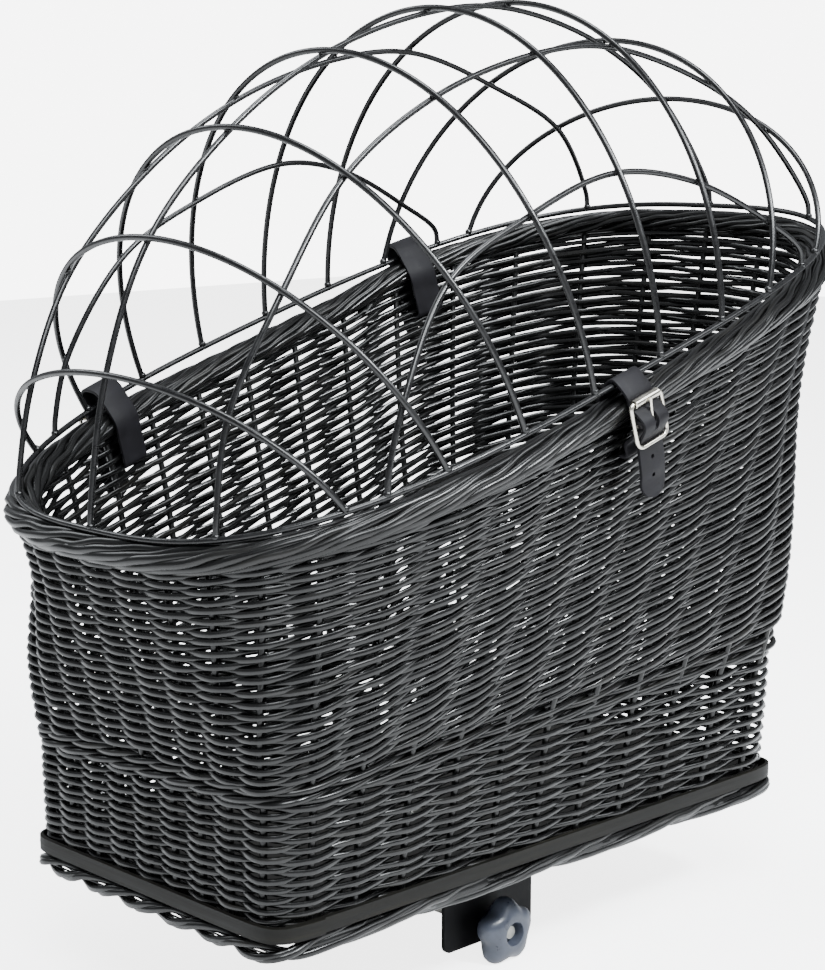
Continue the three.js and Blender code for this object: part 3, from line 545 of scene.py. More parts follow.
class RodBundle:
    """Collects swept rods, wires and strips into one mesh."""

    def __init__(self, seed: int) -> None:
        """Starts an empty bundle.

        Args:
            seed: start of its random draws.
        """
        self.rng = np.random.default_rng(int(seed))
        self.points: list[Array] = []
        self.quads: list[Array] = []
        self.lay: list[Array] = []
        self.caps: list[tuple[int, ...]] = []
        self.tint: list[Array] = []
        self.count = 0

    def sweep(self, path: Array, radii: Array | float, up: Array, closed: bool = False,
              sides: int = 6, section: Array | None = None, tint: float | None = None) -> None:
        """Adds one swept body.

        Args:
            path: middle line in mm, shape (n, 3).
            radii: one radius in mm for each point, or one for all.
            up: direction that the section's second axis leans to, one or one per point.
            closed: whether the path joins up.
            sides: sides of a round section.
            section: outline to use instead of a round one, in units of the radius, shape (k, 2).
            tint: 0 to 1, how light this rod is; drawn at random if left out.
        """
        n = len(path)
        if closed:
            ahead, behind = np.roll(path, -1, axis=0), np.roll(path, 1, axis=0)
        else:
            ahead, behind = np.vstack([path[1:], path[-1:]]), np.vstack([path[:1], path[:-1]])
        along = unit(ahead - behind)
        across = unit(np.cross(along, np.broadcast_to(up, along.shape)))
        lift = np.cross(across, along)
        section = circle(sides) if section is None else section
        k = len(section)
        radius = np.broadcast_to(np.asarray(radii, dtype=float), (n,))[:, None, None]
        ring = path[:, None] + radius * (across[:, None] * section[:, :1] + lift[:, None] * section[:, 1:])
        self.points.append(ring.reshape(-1, 3))
        self.tint.append(np.full(n * k, self.rng.uniform() if tint is None else tint))
        reach = totals(np.linalg.norm(ahead - path, axis=1))
        girth = totals(np.linalg.norm(np.roll(section, -1, axis=0) - section, axis=1)) * np.mean(radius)
        i = np.arange(n if closed else n - 1)[:, None]
        j = np.arange(k)[None, :]
        m = (j + 1) % k
        here = self.count + i * k
        there = self.count + ((i + 1) % n) * k
        self.quads.append(np.stack([here + j, there + j, there + m, here + m], axis=-1).reshape(-1, 4))
        low, high, near, far = np.broadcast_arrays(reach[i], reach[i + 1], girth[j], girth[j + 1])
        self.lay.append(np.stack([low, near, high, near, high, far, low, far], axis=-1).reshape(-1, 2))
        if not closed:
            last = self.count + (n - 1) * k
            self.caps += [tuple(range(self.count, self.count + k)), tuple(reversed(range(last, last + k)))]
        self.count += n * k

    def make(self, name: str, material: Material, body: str, slot: str, *nodes: str,
             angle: float = 60) -> None:
        """Turns all that was swept into one finished piece.

        Args:
            name: the piece's name.
            material: its finish.
            body: body that it moves with.
            slot: not used; only passed on to complete().
            nodes: nodes of the solid model that it stands for.
            angle: edges sharper than this, in degrees, stay sharp.
        """
        piece = add_piece(name, np.vstack(self.points), np.vstack(self.quads).tolist() + self.caps)
        ends = np.zeros((sum(len(cap) for cap in self.caps), 2))
        lay = piece.data.uv_layers.new(name="lay")
        lay.data.foreach_set("uv", np.vstack([*self.lay, ends]).astype(np.float32).ravel())
        tint = piece.data.attributes.new("tint", "FLOAT", "POINT")
        tint.data.foreach_set("value", np.concatenate(self.tint).astype(np.float32))
        complete(piece, material, angle, body, slot, *nodes)


# The basket's form


@dataclass(frozen=True)
class BasketShape:
    """Sizes of the basket body in mm, the same as in the solid model."""

    base: Pair = (424.0, 218.0)
    waisted: Pair = (434.0, 232.0)
    waist_shift: float = 2.0
    waist_height: float = 87.0
    upper_step: float = 2.5
    rim: Pair = (508.0, 328.0)
    rim_shift: float = 13.0
    rim_height: float = 283.0
    rim_slope: float = 0.298
    base_power: float = 20.0
    waist_power: float = 12.0
    rim_power: float = 2.9
    wall: float = 9.0
    border_half_width: float = 10.0
    border_half_height: float = 8.0
    wale_height: float = 12.0
    foot_height: float = 11.0
    seat: float = 0.3
    ring_radius: float = 1.75
    ring_overhang: float = 2.0
    ring_bow: float = 4.9
    far_edge: Pair = (60.0, 40.0)
    far_lift: float = 0.3
    far_lift_run: Pair = (75.0, 135.0)
    far_dip: float = 1.5
    far_dip_reach: float = 80.0
    tuck: float = 1.2
    waist_lift: float = 3.4
    waist_tilt: Pair = (0.035, -0.035)

    def waist(self, flat: Array) -> Array:
        """Height of the waling's middle at points in plan; it wanders as a hand-laid one does."""
        along, across = self.waist_tilt
        return self.waist_height + self.waist_lift + flat[:, 0] * along + flat[:, 1] * across

    @property
    def lower_start(self) -> float:
        """Height of the lowest weaver's underside."""
        return self.foot_height + self.seat

    @property
    def lower_end(self) -> float:
        """Height where the lower zone meets the waling."""
        return self.waist_height - self.wale_height / 2 - self.seat

    @property
    def upper_start(self) -> float:
        """Height where the upper zone leaves the waling."""
        return self.waist_height + self.wale_height / 2 + self.seat

    @property
    def ring_half(self) -> Array:
        """Half length and half width of the dome's ring."""
        return np.array(self.rim) / 2 + self.ring_overhang

    @cached_property
    def offset(self) -> Array:
        """Move from the basket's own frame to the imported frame, read from two of its nodes.

        Returns:
            The move in mm.
        """
        rim_low, rim_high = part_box("rim_border")
        foot_low, foot_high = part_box("foot_border")
        return np.array([(rim_low[0] + rim_high[0]) / 2 / MM - self.rim_shift,
                         (foot_low[1] + foot_high[1]) / 2 / MM, foot_low[2] / MM])

    def packed(self, flat: Array, heights: Array) -> Array:
        """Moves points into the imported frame.

        Args:
            flat: points in plan, in mm.
            heights: their heights in mm.

        Returns:
            Points of shape (n, 3).
        """
        return np.column_stack([flat, heights]) + self.offset

    def rim_plane(self, x: Array | float) -> Array | float:
        """Height of the rim border's middle at x."""
        return self.rim_height + self.rim_slope * (x - self.rim_shift)

    def far_rise(self, flat: Array) -> Array:
        """How far the border stands up towards the ring at the far high corner.

        Between the hinge straps the ring dips when the dome opens, so the border stays down there.

        Args:
            flat: points in plan, in mm.

        Returns:
            The rise in mm at each point.
        """
        x = flat[:, 0]
        share = np.clip((x - self.rim_shift) / self.ring_half[0], -1, 1)
        middle, blur = self.far_edge
        far = 0.5 * (1 + np.tanh((flat[:, 1] - middle) / blur))
        first, last = self.far_lift_run
        climb = ease(np.clip((x - first) / (last - first), 0, 1))
        lift = (self.far_lift + self.ring_bow * (1 - share * share)) * climb
        return (lift - self.far_dip * np.exp(-((x - self.rim_shift) / self.far_dip_reach) ** 2)) * far

    def wall_top(self, flat: Array) -> Array:
        """Height of the top of the weave at points in plan."""
        return self.rim_plane(flat[:, 0]) + self.far_rise(flat) - self.border_half_height + self.tuck

    def section(self, zone: Zone, share: float, inset: float, count: int) -> Array:
        """Outline of the wall at one level.

        Args:
            zone: below or above the waling.
            share: 0 at the zone's foot to 1 at its top.
            inset: how far inside the outer face.
            count: points round.

        Returns:
            Points of shape (count + 1, 2).
        """
        base, waist, rim = map(np.array, (self.base, self.waisted, self.rim))
        if zone is Zone.LOWER:
            size = mix(base, waist, share)
            power = mix(self.base_power, self.waist_power, share)
            shift = self.waist_shift * share
        else:
            size = mix(waist + 2 * self.upper_step, rim + self.wall, share)
            power = mix(self.rim_power, self.waist_power, (1 - share) ** 3)
            shift = mix(self.waist_shift, self.rim_shift, share)
        return superellipse(size / 2 - inset, power, shift, count)

    def width_share(self, share: float) -> float:
        """Share of its half width that the rim has at a share of its half length."""
        return (1 - share ** self.rim_power) ** (1 / self.rim_power)

    def ring_lift(self, x: Array | float) -> Array | float:
        """How far the ring's middle stands above the rim border's middle at x."""
        share = (x - self.rim_shift) / self.ring_half[0]
        return self.border_half_height + self.seat + self.ring_radius + self.ring_bow * (1 - share * share)

    def ring_point(self, x: float, side: float) -> Array:
        """Middle of the ring wire.

        Args:
            x: place along the basket in mm.
            side: -1 for the near side, 1 for the far side.

        Returns:
            The point in mm.
        """
        half_length, half_width = self.ring_half
        share = min(1.0, abs((x - self.rim_shift) / half_length))
        width = half_width * self.width_share(share)
        return np.array([x, side * width, self.rim_plane(x) + self.ring_lift(x)])

    def rim_middle(self, x: float) -> float:
        """Distance of the rim border's middle from the centre plane at x."""
        return self.rim[1] / 2 * self.width_share(abs((x - self.rim_shift) / (self.rim[0] / 2)))


class WallSurface:
    """Sheet that follows one zone of the wall, looked up by a share round it and a share up it."""

    def __init__(self, shape: BasketShape, zone: Zone, inset: float,
                 levels: int = 33, around: int = 1800) -> None:
        """Works out the sheet at a grid of places.

        Args:
            shape: sizes of the basket.
            zone: part of the wall.
            inset: how far inside the outer face it lies, in mm.
            levels: places up.
            around: places round.
        """
        self.table = np.stack([shape.section(zone, share, inset, around)
                               for share in np.linspace(0, 1, levels)])
        self.levels = levels
        self.around = around

    def at(self, turn: Array, share: Array) -> Array:
        """Looks up points of the sheet.

        Args:
            turn: share round, which may be any number.
            share: share up, 0 to 1.

        Returns:
            Points in plan, in mm, of shape (n, 2).
        """
        u = np.mod(turn, 1.0) * self.around
        i = np.minimum(u.astype(int), self.around - 1)
        fu = (u - i)[:, None]
        v = np.clip(share, 0, 1) * (self.levels - 1)
        j = np.minimum(v.astype(int), self.levels - 2)
        fv = (v - j)[:, None]
        low = self.table[j, i] * (1 - fu) + self.table[j, i + 1] * fu
        high = self.table[j + 1, i] * (1 - fu) + self.table[j + 1, i + 1] * fu
        return low * (1 - fv) + high * fv

    def outward(self, turn: Array, share: Array) -> Array:
        """Level direction square to the sheet.

        Args:
            turn: share round.
            share: share up.

        Returns:
            Directions of shape (n, 2).
        """
        step = 1.5 / self.around
        run = self.at(turn + step, share) - self.at(turn - step, share)
        return unit(np.stack([run[:, 1], -run[:, 0]], axis=1))


@dataclass
class WovenBody:
    """Stakes, weavers, waling, borders, edge strip and floor, with sizes in mm."""

    shape: BasketShape
    finishes: Finishes
    # Stakes: closer together at the low end, wider apart at the high one
    stakes: int = 36
    end_crowding: float = 0.5
    end_fade: Pair = (0.095, 0.012)
    high_spacing: float = 0.16
    high_fade: Pair = (0.2, 0.03)
    stake_radius: float = 2.0
    stake_taper: Pair = (1.1, 0.95)
    stake_steps: tuple[int, int] = (12, 28)
    stake_foot: float = 4.0
    stake_head: float = 6.0
    # Weavers: how far they swing past the stakes and how much they stray from their row
    weaver_radius: float = 1.72
    weaver_swing: float = 3.3
    weaver_slant: float = 0.2
    steps_per_stake: int = 7
    stray: float = 0.7
    stray_waves: tuple[int, ...] = (5, 17, 31)
    nudge: float = 0.3
    rod_length: Pair = (700.0, 1100.0)
    butt: float = 1.1
    thinning: float = 0.18
    lower_girth: float = 1240.0
    lower_pitch: float = 3.0
    upper_girth: float = 1350.0
    upper_pitch: Pair = (2.95, 3.25)
    low_end: float = -241.0
    high_swell: float = 0.13
    row_room: float = 1.5
    tail_tuck: float = 4.0
    tail_thin: float = 0.6
    # Waling: three thick rods in each of two rows
    wale_radius: float = 2.0
    wale_steps: int = 10
    wale_gap: float = 2.9
    wale_swing: float = 3.6
    wale_out: float = 1.0
    wale_rise: float = 1.5
    wale_stray: float = 0.25
    # Rim border
    border_points: int = 420
    border_strands: int = 10
    border_radius: float = 2.3
    border_advance: float = 235.0
    border_swell: float = 1.02
    border_thinning: float = 0.16
    border_core: float = 0.92
    border_core_height: float = 0.75
    strand_stray: float = 0.16
    strand_twist: float = 2.4
    # Foot border: tightly twisted and hanging lower at the low end
    foot_points: int = 380
    foot_radius: float = 2.15
    foot_swell: float = 0.22
    foot_reach: float = 3.4
    foot_spread: float = 0.055
    foot_inset: float = 1.5
    foot_advance: Pair = (70.0, 230.0)
    foot_low_end: Pair = (26.0, 5.0)
    foot_hang: float = 1.6
    foot_sag: float = 1.5
    foot_core: float = 0.5
    # Edge strip: one turn and a lap
    strip_points: int = 520
    strip_start: float = 0.589
    strip_turns: float = 1.018
    strip_lap: Pair = (0.99, 0.01)
    strip_height: float = 9.7
    strip_drop: float = 2.4
    strip_thickness: float = 2.0
    strip_proud: float = 1.2
    strip_tint: float = 0.6
    lower: WallSurface = field(init=False)
    upper: WallSurface = field(init=False)
    turns: Array = field(init=False)
    counts: Array = field(init=False)

    def __post_init__(self) -> None:
        """Works out the wall's middle sheets and where the stakes stand."""
        self.lower = WallSurface(self.shape, Zone.LOWER, self.shape.wall / 2)
        self.upper = WallSurface(self.shape, Zone.UPPER, self.shape.wall / 2)
        self.turns = np.linspace(0, 1, 2001)
        off_low = np.abs(self.turns - 0.5)
        density = (1 + self.end_crowding * falloff(off_low, *self.end_fade)
                   - self.high_spacing * falloff(0.5 - off_low, *self.high_fade))
        count = totals((density[1:] + density[:-1]) / 2)
        self.counts = count / count[-1] * self.stakes

    def turn_of(self, count: Array) -> Array:
        """Share round the basket of a place counted in stakes.

        Args:
            count: place in stakes from the high end.

        Returns:
            Turns.
        """
        whole = np.floor(count / self.stakes)
        return whole + np.interp(count - whole * self.stakes, self.counts, self.turns)

    def swing(self, count: Array, row: int) -> Array:
        """How far out a weaver lies: in front of every other stake and behind the next.

        Args:
            count: place in stakes.
            row: number of the row, which sets the stake that it starts before.

        Returns:
            Reach in mm.
        """
        wave = np.cos(np.pi * (count + row))
        zigzag = 2 / np.pi * np.arcsin(0.96 * wave)
        return self.weaver_swing * (0.55 * wave + 0.5 * zigzag)

    def unevenness(self, rng: np.random.Generator, turn: Array, count: Array, row: int) -> Array:
        """How far a weaver lies above its row: it wanders, falls before a stake and climbs behind it.

        Args:
            rng: random draws.
            turn: share round.
            count: place in stakes.
            row: number of the row.

        Returns:
            Height in mm.
        """
        wander = self.stray * smooth_noise(rng, turn, self.stray_waves)
        nudges = rng.normal(0, self.nudge, self.stakes + 1)
        nudges[-1] = nudges[0]
        place = np.mod(count, self.stakes)
        whole = np.floor(place)
        nudged = np.interp(whole + ease(place - whole), np.arange(self.stakes + 1), nudges)
        return wander - self.weaver_slant * np.sin(np.pi * (count + row)) + nudged

    def rod_radii(self, rng: np.random.Generator, reach: Array) -> Array:
        """Radius along a row of weavers that each thin from butt to tip over about a metre.

        Args:
            rng: random draws.
            reach: distance along the row in mm.

        Returns:
            Radius in mm.
        """
        length = rng.uniform(*self.rod_length)
        share = np.mod(reach / length + rng.uniform(), 1.0)
        return self.weaver_radius * (self.butt - self.thinning * share)

    def build_stakes(self) -> None:
        """Upright stakes from the foot border to the rim border."""
        shape = self.shape
        bundle = RodBundle(Seed.STAKES)
        below, above = self.stake_steps
        steps = below + above
        share = np.concatenate([np.linspace(0, 1, below), np.linspace(0, 1, above)])
        foot = shape.lower_start - self.stake_foot
        for number in range(self.stakes):
            turn = self.turn_of(np.full(steps, float(number)))
            low = self.lower.at(turn[:below], share[:below])
            high = self.upper.at(turn[below:], share[below:])
            low_z = foot + (shape.lower_end - foot) * share[:below]
            head = shape.wall_top(high) + self.stake_head
            high_z = shape.upper_start + (head - shape.upper_start) * share[below:]
            path = np.vstack([shape.packed(low, low_z), shape.packed(high, high_z)])
            out = np.column_stack([self.upper.outward(turn, share), np.zeros(steps)])
            bundle.sweep(path, self.stake_radius * np.linspace(*self.stake_taper, steps), out, sides=7)
        bundle.make("stakes", self.finishes["rods"], "basket", "willow")

    def lower_rows(self, bundle: RodBundle) -> None:
        """Level rows of weavers from the foot to the waling.

        Args:
            bundle: mesh to add to.
        """
        shape = self.shape
        steps = self.stakes * self.steps_per_stake
        count = np.arange(steps) / self.steps_per_stake
        turn = self.turn_of(count)
        top = shape.waist(self.lower.at(turn, np.ones(steps))) - shape.wale_height / 2
        rows = round((top.mean() - shape.lower_start) / self.lower_pitch)
        for row in range(rows):
            z = shape.lower_start + (top - shape.lower_start) * (row + 0.5) / rows
            z = z + self.unevenness(bundle.rng, turn, count, row)
            z = np.clip(z, shape.lower_start + self.row_room, top + 1)
            level = (z - shape.lower_start) / (shape.lower_end - shape.lower_start)
            swing = self.lower.outward(turn, level) * self.swing(count, row)[:, None]
            path = shape.packed(self.lower.at(turn, level) + swing, z)
            bundle.sweep(path, self.rod_radii(bundle.rng, turn * self.lower_girth), UP, closed=True)

    def upper_rows(self, bundle: RodBundle) -> None:
        """Rows of weavers that follow the sloping rim; the lower ones end at the waling.

        Args:
            bundle: mesh to add to.
        """
        shape = self.shape
        start = shape.upper_start
        steps = self.stakes * self.steps_per_stake
        # Counted from the middle of the low end, so that a short row is one run
        count = np.arange(steps) / self.steps_per_stake + self.stakes / 2
        turn = self.turn_of(count)
        inside = np.ones(steps, dtype=bool)
        row = 0
        while inside.any():
            share = np.full(steps, 0.5)
            # The rows lie wider apart towards the high end, so where a row lies is found in a few rounds
            for _ in range(6):
                flat = self.upper.at(turn, share)
                blend = (flat[:, 0] - self.low_end) / shape.rim[0]
                pitch = mix(*self.upper_pitch, blend)
                room = shape.wall_top(flat) - start
                share = 1 - (row + 0.5) * pitch / room
            inside = start + room * share > shape.waist(flat) + shape.wale_height / 2 - self.row_room
            if inside.any():
                stray = self.unevenness(bundle.rng, turn, count, row)
                share = share + np.minimum(stray, (row + 0.5) * pitch - self.row_room) / room
                middle = self.upper.at(turn, share)
                out = self.upper.outward(turn, share)
                z = start + (shape.wall_top(middle) - start) * share
                path = shape.packed(middle + out * self.swing(count, row)[:, None], z)
                radii = self.rod_radii(bundle.rng, turn * self.upper_girth)
                radii = radii * (1 + self.high_swell * blend)
                self.lay_row(bundle, path, radii, out, np.nonzero(inside)[0])
                row += 1
        LOG.info("rows above the waling: %d", row)

    def lay_row(self, bundle: RodBundle, path: Array, radii: Array, out: Array,
                keep: Array) -> None:
        """Adds a whole row, or the part of it above the waling with thin ends tucked inside.

        Args:
            bundle: mesh to add to.
            path: middle line in mm.
            radii: radius at each point.
            out: outward direction in plan at each point.
            keep: numbers of the points that stay.
        """
        if len(keep) == len(path):
            bundle.sweep(path, radii, UP, closed=True)
            return
        run = slice(keep[0], keep[-1] + 1)
        along = np.arange(keep[-1] + 1 - keep[0])
        fade = np.minimum(np.minimum(along, along[::-1]) / self.steps_per_stake, 1)
        path[run, :2] -= out[run] * (self.tail_tuck * (1 - fade))[:, None]
        bundle.sweep(path[run], radii[run] * (self.tail_thin + (1 - self.tail_thin) * fade), UP)

    def build_weave(self) -> None:
        """The woven walls, which stand for the plain walls of the solid model."""
        for zone, seed, lay_rows in ((Zone.LOWER, Seed.LOWER, self.lower_rows),
                                     (Zone.UPPER, Seed.UPPER, self.upper_rows)):
            bundle = RodBundle(seed)
            lay_rows(bundle)
            bundle.make(f"weave_{zone.value}", self.finishes["weaver"],
                        "basket", "willow", f"wall_{zone.value}")

    def build_waling(self) -> None:
        """Two rows of a three-rod wale: each thick rod goes before two stakes and behind one."""
        bundle = RodBundle(Seed.WALING)
        steps = self.stakes * self.wale_steps
        count = np.arange(steps) / self.wale_steps
        turn = self.turn_of(count)
        middle = self.lower.at(turn, np.ones(steps))
        out = self.lower.outward(turn, np.ones(steps))
        for level in (-1, 1):
            for rod in range(3):
                beat = 2 * np.pi * (count + rod - 0.5 + 1.5 * (level > 0)) / 3
                reach = self.wale_swing * np.cos(beat) + self.wale_out
                z = (self.shape.waist(middle) + level * self.wale_gap + self.wale_rise * np.sin(beat)
                     + self.wale_stray * smooth_noise(bundle.rng, turn, (5, 9, 17)))
                path = self.shape.packed(middle + out * reach[:, None], z)
                bundle.sweep(path, self.wale_radius, UP, closed=True, sides=8)
        bundle.make("waling_rods", self.finishes["rods"], "basket", "rim_rods", "waling")

    def rope(self, bundle: RodBundle, line: Array, out: Array, half: Pair,
             phases: Array, radius: Array, lay: Array) -> None:
        """Lays strands round a core, as a rolled border does.

        Args:
            bundle: mesh to add to.
            line: middle line in mm, closed.
            out: outward direction at each point.
            half: reach of the strands' middles outwards and upwards.
            phases: where round the rope each strand starts, 0 to 1.
            radius: of one strand, along the border.
            lay: turns that a strand has made by each point, a whole number when it comes round.
        """
        share = np.arange(len(line)) / len(line)
        for phase in phases:
            stray = self.strand_stray * smooth_noise(bundle.rng, share, (7, 13, 29, 47))
            angle = 2 * np.pi * (lay + phase) + self.strand_twist * stray
            thick = radius * (1 + self.strand_stray * smooth_noise(bundle.rng, share, (3, 11, 23)))
            path = (line + out * (half[0] * (1 + 0.5 * stray) * np.cos(angle))[:, None]
                    + UP * (half[1] * (1 + 0.5 * stray) * np.sin(angle))[:, None])
            bundle.sweep(path, thick, UP, closed=True, sides=7)

    def lay_turns(self, line: Array, advance: Array | float) -> Array:
        """Turns made by each point of a closed border, fitted so that it joins up.

        Args:
            line: middle line in mm.
            advance: mm for each turn.

        Returns:
            Turns at each point.
        """
        turns = totals(np.linalg.norm(np.roll(line, -1, axis=0) - line, axis=1) / advance)
        return turns[:-1] / turns[-1] * max(1, round(turns[-1]))

    def build_rim(self) -> None:
        """Rolled rim border of thick rods round a core."""
        shape = self.shape
        half = np.array(shape.rim) / 2
        flat = superellipse(half, shape.rim_power, shape.rim_shift, self.border_points)[:-1]
        line = shape.packed(flat, shape.rim_plane(flat[:, 0]) + shape.far_rise(flat))
        bundle = RodBundle(Seed.RIM)
        reach = np.array([shape.border_half_width, shape.border_half_height]) - self.border_radius
        phases = np.arange(self.border_strands) / self.border_strands
        along = (flat[:, 0] - shape.rim_shift) / half[0]
        thick = self.border_radius * (self.border_swell - self.border_thinning * along)
        self.rope(bundle, line, outward(flat), reach, phases, thick,
                  self.lay_turns(line, self.border_advance))
        oval = circle(10) * (1.0, self.border_core_height)
        bundle.sweep(line, reach[0] * self.border_core, UP, closed=True, section=oval, tint=0.0)
        bundle.make("rim_rods", self.finishes["rods"], "basket", "rim_rods", "rim_border")

    def build_foot(self) -> None:
        """Twisted foot border."""
        shape = self.shape
        flat = shape.section(Zone.LOWER, 0, self.foot_inset, self.foot_points)[:-1]
        reach, blur = self.foot_low_end
        low_end = falloff(flat[:, 0], reach - shape.base[0] / 2, blur)
        hang = self.foot_hang + self.foot_sag * low_end
        line = shape.packed(flat, shape.foot_height / 2 - hang)
        bundle = RodBundle(Seed.FOOT)
        spread = self.foot_spread
        phases = np.array([-spread, spread, 0.5 - spread, 0.5 + spread])
        advance = mix(*self.foot_advance, 1 - low_end)
        thick = self.foot_radius * (1 + self.foot_swell * (1 - low_end))
        self.rope(bundle, line, outward(flat), (self.foot_reach, self.foot_reach), phases, thick,
                  self.lay_turns(line, advance))
        bundle.sweep(line, self.foot_core + self.foot_reach * (1 - low_end), UP, closed=True, tint=0.0)
        bundle.make("foot_rods", self.finishes["rods"], "basket", "rim_rods", "foot_border")

    def build_strip(self) -> None:
        """Flat strip bent once round the foot, its end lapped over its start."""
        shape = self.shape
        surface = WallSurface(shape, Zone.LOWER, 0.0)
        run = np.linspace(0, self.strip_turns, self.strip_points)
        turn = self.strip_start + run
        half = self.strip_height / 2
        share = np.full(len(run), half / (shape.lower_end - shape.lower_start))
        first, length = self.strip_lap
        lap = np.clip((run - first) / length, 0, 1) * self.strip_thickness * 0.9
        flat = surface.at(turn, share) + surface.outward(turn, share) * (self.strip_proud + lap)[:, None]
        level = np.full(len(run), shape.lower_start + half - self.strip_drop)
        thin = self.strip_thickness / 2
        tall = half - 0.2
        section = np.array([[-thin, -tall], [thin, -tall + 0.5], [thin, -tall / 3], [thin * 1.15, 0.0],
                            [thin, tall / 3], [thin, tall - 0.5], [-thin, tall]])
        bundle = RodBundle(Seed.STRIP)
        bundle.sweep(shape.packed(flat, level), 1.0, UP, section=section, tint=self.strip_tint)
        bundle.make("edge_strip_band", self.finishes["strip"], "basket", "strip", "edge_strip", angle=35)

    def build(self) -> None:
        """Builds the whole body."""
        self.build_stakes()
        self.build_weave()
        self.build_waling()
        self.build_rim()
        self.build_foot()
        self.build_strip()
        dress(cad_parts["floor_board"], self.finishes["plywood"])


